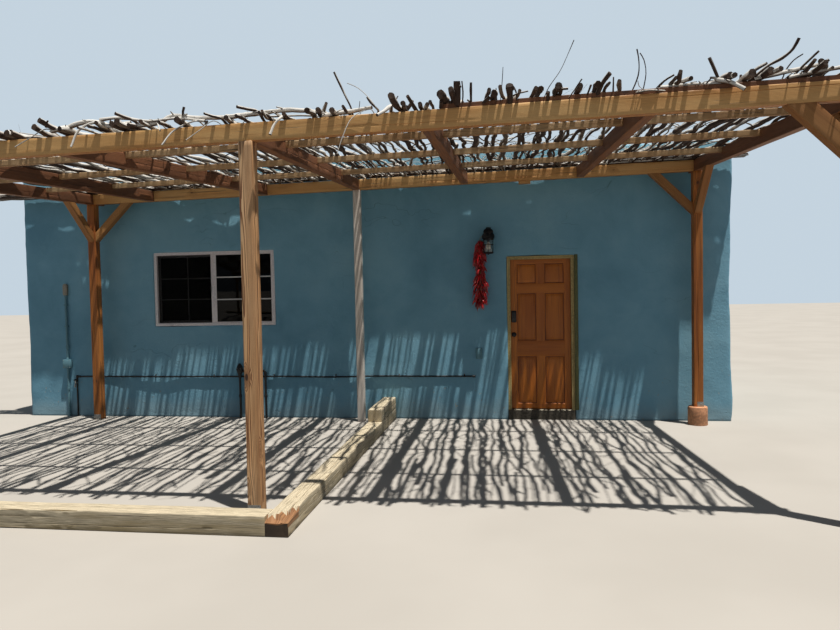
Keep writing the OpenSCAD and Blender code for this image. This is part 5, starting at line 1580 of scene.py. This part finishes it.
def outlet_cover():
    """Weatherproof outlet box with a hinged flap."""
    b = Build()
    x0, x1, z0, z1 = LEAF_X - 0.47, LEAF_X - 0.38, 0.83, 0.98
    block(b, (x0 + 0.004, FRONT - 0.024, z0 + 0.004), (x1 - 0.004, FRONT - 0.0005, z1 - 0.004), 0.005)
    block(b, (x0, FRONT - 0.0285, z0), (x1, FRONT - 0.0215, z1), 0.0035)
    block(b, (x0 + 0.008, FRONT - 0.037, z0 + 0.012), (x1 - 0.008, FRONT - 0.028, z1 - 0.016), 0.006)
    for dx in (0.02, 0.062):
        rod(b, [(x0 + dx, FRONT - 0.032, z1 - 0.012), (x0 + dx + 0.008, FRONT - 0.032, z1 - 0.012)], 0.0045)
    rod(b, [(x0 + 0.015, FRONT - 0.0315, z1 - 0.0125), (x1 - 0.015, FRONT - 0.0315, z1 - 0.0125)], 0.0028)
    block(b, (x0 + 0.038, FRONT - 0.0378, z0 + 0.013), (x0 + 0.052, FRONT - 0.035, z0 + 0.022), 0.0012)
    for z in (z0 + 0.006, z1 - 0.006):
        screw(b, (x0 + x1) / 2, FRONT - 0.0288, z, 0.0035, 1)
    b.make("outlet_cover", [PIPE_PAINT, STEEL], "painted_pipe", ["outlet_box"], sharp=30, turn_out=True)


def water_pipe():
    """The pipe along the foot of the wall, with its clips and a hose bib at its left end."""
    b = Build()
    r, z = 0.011, 0.59
    x0, x1 = LEFT + 0.78, LEAF_X - 0.48
    y = FRONT - r - 0.001
    n = 60
    xs = np.linspace(x0, x1, n)
    sag = wob(xs, 61, 0.5, 1.4) * 0.004
    rod_path = np.stack([xs, np.full(n, y) - np.abs(wob(xs, 62, 0.6, 2)) * 0.003, z + sag], -1)
    tube(b, rod_path, r, 12, 0)
    tube(b, smooth_path([(x0, y, 0), (x0 + 0.002, y - 0.002, 0.2), (x0, y, 0.4), (x0, y, z + r)], 0.05), r, 12, 0)
    # Elbow, couplings and end cap
    for c, axis in (((x0, y, z), "Z"), ((x0, y, z - 0.05), "Z"), ((x0 + 0.04, y, z), "X"), ((x0 + 2.9, y, z), "X"),
                    ((x1 - 0.02, y, z), "X")):
        turn = FACING["+X"] if axis == "X" else Matrix()
        half = [(0, 0.02), (r + 0.002, 0.02), (r + 0.005, 0.017), (r + 0.005, 0.008), (r + 0.003, 0.006)]
        lathe(b, [(q, -h) for q, h in half] + half[::-1], Matrix.Translation(c) @ turn, 16)
    # Clips every so often
    for i in range(7):
        cx = x0 + 0.35 + i * (x1 - x0 - 0.5) / 6
        hoop_at = Matrix.Translation((cx, y, z + float(np.interp(cx, xs, sag)))) @ FACING["+X"]
        ring = [(r - 0.001, -0.008), (r + 0.003, -0.008), (r + 0.0038, 0), (r + 0.003, 0.008), (r - 0.001, 0.008)]
        lathe(b, ring, hoop_at, 16)
        block(b, (cx - 0.008, FRONT - 0.006, z + r - 0.002), (cx + 0.008, FRONT + 0.004, z + r + 0.022), 0.002)
        screw(b, cx, FRONT - 0.0062, z + r + 0.014, 0.004, 1)
    # Hose bib: body, spout, bonnet and a lobed hand wheel
    bx, bz = x0, z - 0.085
    rod(b, [(bx, FRONT + 0.004, bz), (bx, FRONT - 0.03, bz), (bx, FRONT - 0.052, bz)], 0.013, 1, 14)
    rod(b, [(bx, FRONT - 0.036, bz), (bx - 0.004, FRONT - 0.046, bz - 0.018), (bx - 0.006, FRONT - 0.05, bz - 0.045),
            (bx - 0.006, FRONT - 0.051, bz - 0.07)], 0.0105, 1, 14)
    hoop(b, Vector((bx - 0.006, FRONT - 0.051, bz - 0.066)), 0.0115, 0.0028, 1, 20)
    rod(b, [(bx, FRONT - 0.036, bz), (bx, FRONT - 0.044, bz + 0.02), (bx, FRONT - 0.05, bz + 0.036)], 0.008, 1, 12)
    hub = Matrix.Translation((bx, FRONT - 0.0525, bz + 0.042)) @ Matrix.Rotation(math.radians(28), 4, "X")
    lobes, rim = 24, []
    for k in range(lobes):
        a = TURN * k / lobes
        q = 0.021 + 0.003 * math.cos(a * 6)
        rim.append((q * math.cos(a), q * math.sin(a)))
    prof = [(-0.004, 0.9), (-0.002, 1.0), (0.002, 1.0), (0.004, 0.9)]
    p = [tuple(hub @ Vector((px * g, py * g, h))) for h, g in prof for px, py in rim]
    b.add(p, strip(4, lobes, flip=True) + [tuple(reversed(range(lobes))), tuple(range(3 * lobes, 4 * lobes))])
    b.make("water_pipe_run", [PLASTIC, STEEL], "black_plastic", ["water_pipe"], sharp=30, turn_out=True)


def garden_valve():
    """A valve on its own risers, half hidden by the middle post."""
    b = Build()
    vy, r, top = FRONT - 0.07, 0.0165, 0.676
    x0, x1 = at_px(240, 377, vy).x, at_px(265.5, 377, vy).x
    for line in ([(x0, 0), (x0, 0.2), (x0, 0.4), (x0, 0.63)],
                 [(x1, 0), (x1, 0.2), (x1, 0.4), (x1, 0.655), (x1 - 0.012, 0.672), (x1 - 0.03, top)],
                 [(x0 + 0.02, top), ((x0 + x1) / 2, top), (x1 - 0.03, top)]):
        rod(b, [(x, vy, z) for x, z in line], r, 0, 16)
    at = Matrix.Translation((x0, vy, top))
    lathe(b, [(0, -0.06), (0.024, -0.06), (0.026, -0.04), (0.036, -0.03), (0.042, -0.01), (0.043, 0.012),
              (0.05, 0.018), (0.05, 0.034), (0.043, 0.04), (0.038, 0.062), (0.03, 0.082), (0.02, 0.092),
              (0.014, 0.108), (0, 0.110)], at, 30)
    # Screws of the bonnet
    for i in range(6):
        a = TURN * i / 6
        lathe(b, [(0, 0.034), (0.005, 0.034), (0.005, 0.042), (0, 0.042)],
              at @ Matrix.Translation((0.0445 * math.cos(a), 0.0445 * math.sin(a), 0)), 8, 1)
    # Flow handle and the drain on the front
    rod(b, [(x0, vy - 0.03, 0.70), (x0, vy - 0.045, 0.705), (x0, vy - 0.058, 0.708)], 0.009, 0, 10)
    for cx, z in ((x0, 0.6), (x1, 0.64), (x1, 0.32), (x0, 0.32)):
        half = [(0, 0.02), (0.0195, 0.02), (0.022, 0.016)]
        lathe(b, [(q, z - h) for q, h in half] + [(q, z + h) for q, h in half[::-1]],
              Matrix.Translation((cx, vy, 0)), 18)
    b.make("garden_valve", [PLASTIC, STEEL], "black_plastic", sharp=30, turn_out=True)


lantern()
ristra()
conduit()
outlet_cover()
water_pipe()
garden_valve()


# ---------------------------------------------------------------- brackets and screws of the ramada
def plate(b, lo, hi, screws=()):
    """A thin galvanised plate with its screw heads; screws are (x, y, z, facing)."""
    block(b, lo, hi, 0.0012)
    for x, y, z, face in screws:
        lathe(b, [(0, -0.001), (0.006, -0.001), (0.006, 0.0025), (0.0035, 0.0045), (0, 0.0045)],
              Matrix.Translation((x, y, z)) @ FACING[face], 6)


def brackets():
    b = Build()
    h, t, play = POST_W / 2, 0.003, 0.0005

    def pair(x, y, x0, x1, z0, z1, screws):
        """Plates on a post's front and rear faces; screws are (x, z)."""
        for side, face in ((-1, "-Y"), (1, "+Y")):
            y0 = y + side * h
            lo, hi = sorted((y0 + side * play, y0 + side * (t + play)))
            plate(b, (x + x0, lo, z0), (x + x1, hi, z1), [(x + dx, y0 + side * (t + play), z, face) for dx,
                                                          z in screws])

    # Standoffs at the feet of the posts that reach the ground
    for x, y in ((MID_X, FRONT_ROW), (LEFT_POST, FRONT_ROW), (LEFT_POST, ROW_Y)):
        pair(x, y, -0.055, 0.055, 0.001, 0.075, [(dx, 0.053) for dx in (-0.035, 0.035)])
    # Collars between the posts and their round piers
    for x, y in ((RIGHT_POST, ROW_Y), (FRONT_RIGHT_POST, FRONT_ROW)):
        pair(x, y, -0.02, 0.062, PIER_H, PIER_H + 0.062, [(0.02, PIER_H + 0.04)])
        plate(b, (x + h + play, y - 0.05, PIER_H), (x + h + t + play, y + 0.05, PIER_H + 0.062))
    # Bolt pairs where the knee braces meet the posts
    for x, y, s in ((LEFT_POST, ROW_Y, 1), (RIGHT_POST, ROW_Y, -1), (LEFT_POST, FRONT_ROW, 1),
                    (FRONT_RIGHT_POST, FRONT_ROW, -1)):
        z = under(x, y) - BRACE_RUN + 0.06
        for dz in (0.0, 0.05):
            plate_at = Matrix.Translation((x - s * h, y + 0.01, z + dz)) @ FACING["-X" if s > 0 else "+X"]
            lathe(b, [(0, -0.001), (0.011, -0.001), (0.011, 0.002), (0.006, 0.002), (0.006, 0.007), (0, 0.007)],
                  plate_at, 6)
    b.make("post_brackets", [STEEL], "hinge_steel", sharp=30, turn_out=True)
    # A block nailed under the rear beam
    b = Build()
    p0, p1 = at_px(518.5, 184, ROW_Y - 0.045), at_px(530.5, 184, ROW_Y - 0.045)
    z = under(p0.x, ROW_Y)
    timber(b, box_ends((p0.x, ROW_Y - 0.04, z - 0.036), (p1.x, ROW_Y + 0.04, z - 0.0015)), 401, arris=0.004)
    b.make("nailed_block", [TIMBER], "timber")


brackets()


# ---------------------------------------------------------------- kerb
KERB_W, KERB_H, KERB_X, KERB_Y, KERB_STEP = 0.175, 0.15, LEFT + 5.6, FRONT - 4.43, 1.0
CHIP_H, SPLIT_NEAR, SPLIT_FAR = 0.05, 0.04, 0.26


def kerb():
    b = Build()
    timber(b, box_ends((LEFT, KERB_Y, 0), (KERB_X - KERB_W - 0.0005, KERB_Y + KERB_W, KERB_H)), 301, arris=0.009,
           rough=0.0025, wane=0.008, step=0.05, pith=(0.0, 0.01),
           checks=((2, 0.45, 0.014, 0.0, 1.0), (2, 0.7, 0.008, 0.1, 0.5), (3, 0.35, 0.009, 0.05, 0.7),
                   (3, 0.7, 0.007, 0.3, 0.95)))
    b.make("kerb_front_timber", [OLD_TIMBER], "weathered_wood", ["kerb_front"])

    b = Build()
    timber(b, box_ends((KERB_X - KERB_W, KERB_Y, 0), (KERB_X, FRONT - 0.0005, KERB_H), 1), 305, arris=0.009,
           rough=0.002, wane=0.008, step=0.02, pith=(0.02, 0.01),
           checks=((2, 0.3, 0.014, 0.0, 0.9), (2, 0.62, 0.01, 0.05, 0.6), (1, 0.4, 0.010, 0.02, 0.8),
                   (1, 0.72, 0.008, 0.1, 0.5), (3, 0.5, 0.008, 0.2, 0.9)))
    # The outer corner has split off along the grain
    p = np.concatenate(b.verts)
    x, along = (p[:, 0] - (KERB_X - KERB_W)) / KERB_W, p[:, 1] - KERB_Y
    reach = SPLIT_NEAR + (SPLIT_FAR - SPLIT_NEAR) * np.clip(x * 2 - 1, 0, 1)
    reach = reach + wob(x * 3, 307, 0.15, 0.6) * 0.012
    rip = wob(x * 0.9 + along * 0.12, 308, 0.012, 0.06) * 0.004 + wob(along, 309, 0.03, 0.1) * 0.002
    torn = (along < reach) & (p[:, 2] > KERB_H - CHIP_H)
    floor_z = KERB_H - CHIP_H + 0.004 + rip + 0.012 * ease(along / np.maximum(reach, 0.01))
    p[:, 2] = np.where(torn, np.minimum(p[:, 2], floor_z), p[:, 2])
    b.verts = [p]
    for i, f in enumerate(b.faces):
        if sum(bool(torn[v]) for v in f) >= 2:
            b.mats[i] = 1
        elif b.mats[i] == 0 and all(p[v][1] < KERB_Y + 0.012 for v in f):
            # The end face takes dark end-grain wood: painted shade
            b.mats[i] = 3
    step = (KERB_X - KERB_W, FRONT - KERB_STEP, KERB_H + 0.0005), (KERB_X, FRONT - 0.0005, 2 * KERB_H)
    timber(b, box_ends(*step, 1), 306,
           arris=0.009, rough=0.002, wane=0.006, step=0.05, checks=((2, 0.5, 0.012, 0.0, 0.8),
                                                                    (1, 0.45, 0.01, 0.1, 1.0)))
    # Long spikes hold the timbers down
    for i in range(4):
        y = FRONT - 1.4 - 0.86 * i
        lathe(b, [(0, KERB_H - 0.004), (0.008, KERB_H - 0.004), (0.008, KERB_H + 0.0012), (0.006, KERB_H + 0.0028),
                  (0, KERB_H + 0.003)],
              Matrix.Translation((KERB_X - KERB_W * 0.5, y, 0)), 14, 2)
    b.make("kerb_side_timbers", [OLD_TIMBER, SPLIT_WOOD, SCREW, END_GRAIN_SHADE], "weathered_wood", ["kerb_side"])


kerb()

# ---------------------------------------------------------------- stage and light
FLOOR_HALF = 60
SUN_POWER, SUN_ANGLE, SUN_COLOUR, SUN_WAY = 4.9, math.radians(0.7), (1.0, 0.97, 0.92), Vector((-0.19, 0.13, -1))
# Colour and strength of the sky's light, and of the plain sky that the camera sees
SKIES = (("d3e2f4", 0.21), ("c9d8e4", 0.95))

floor = bpy.data.meshes.new("floor")
floor.from_pydata([(x * FLOOR_HALF, y * FLOOR_HALF, 0) for x, y in ((-1, -1), (1, -1), (1, 1), (-1, 1))],
                  [], [(0, 1, 2, 3)])
floor_obj = bpy.data.objects.new("floor", floor)
bpy.context.scene.collection.objects.link(floor_obj)
ground = Shade("pale_floor", Roughness=0.95)
rays = ground.node("LightPath").outputs
seen = ground.add(ground.add(rays["Is Camera Ray"], rays["Is Glossy Ray"]), rays["Is Transmission Ray"], True)
pale = ground.mix(ground.step(ground.noise(ground.object(), 0.6, 3), 0.3, 0.7), "b0aaa1", "b6b0a7")
floor.materials.append(ground.set(Base_Color=ground.mix(seen, "6e6d6b", pale)))

sun = bpy.data.objects.new("key", bpy.data.lights.new("key", "SUN"))
sun.data.energy = SUN_POWER
sun.data.angle = SUN_ANGLE
sun.data.color = SUN_COLOUR
sun.rotation_euler = SUN_WAY.to_track_quat("-Z", "Y").to_euler()
bpy.context.scene.collection.objects.link(sun)

world = bpy.data.worlds.new("studio")
bpy.context.scene.world = world
world.use_nodes = True
wt = world.node_tree
wt.nodes.clear()
w_out = wt.nodes.new("ShaderNodeOutputWorld")
pick = wt.nodes.new("ShaderNodeMixShader")
for i, (colour, strength) in enumerate(SKIES):
    sky = wt.nodes.new("ShaderNodeBackground")
    sky.inputs[0].default_value = rgb(colour)
    sky.inputs[1].default_value = strength
    wt.links.new(sky.outputs[0], pick.inputs[i + 1])
wt.links.new(wt.nodes.new("ShaderNodeLightPath").outputs["Is Camera Ray"], pick.inputs[0])
wt.links.new(pick.outputs[0], w_out.inputs[0])

bpy.context.scene.view_settings.view_transform = "Standard"
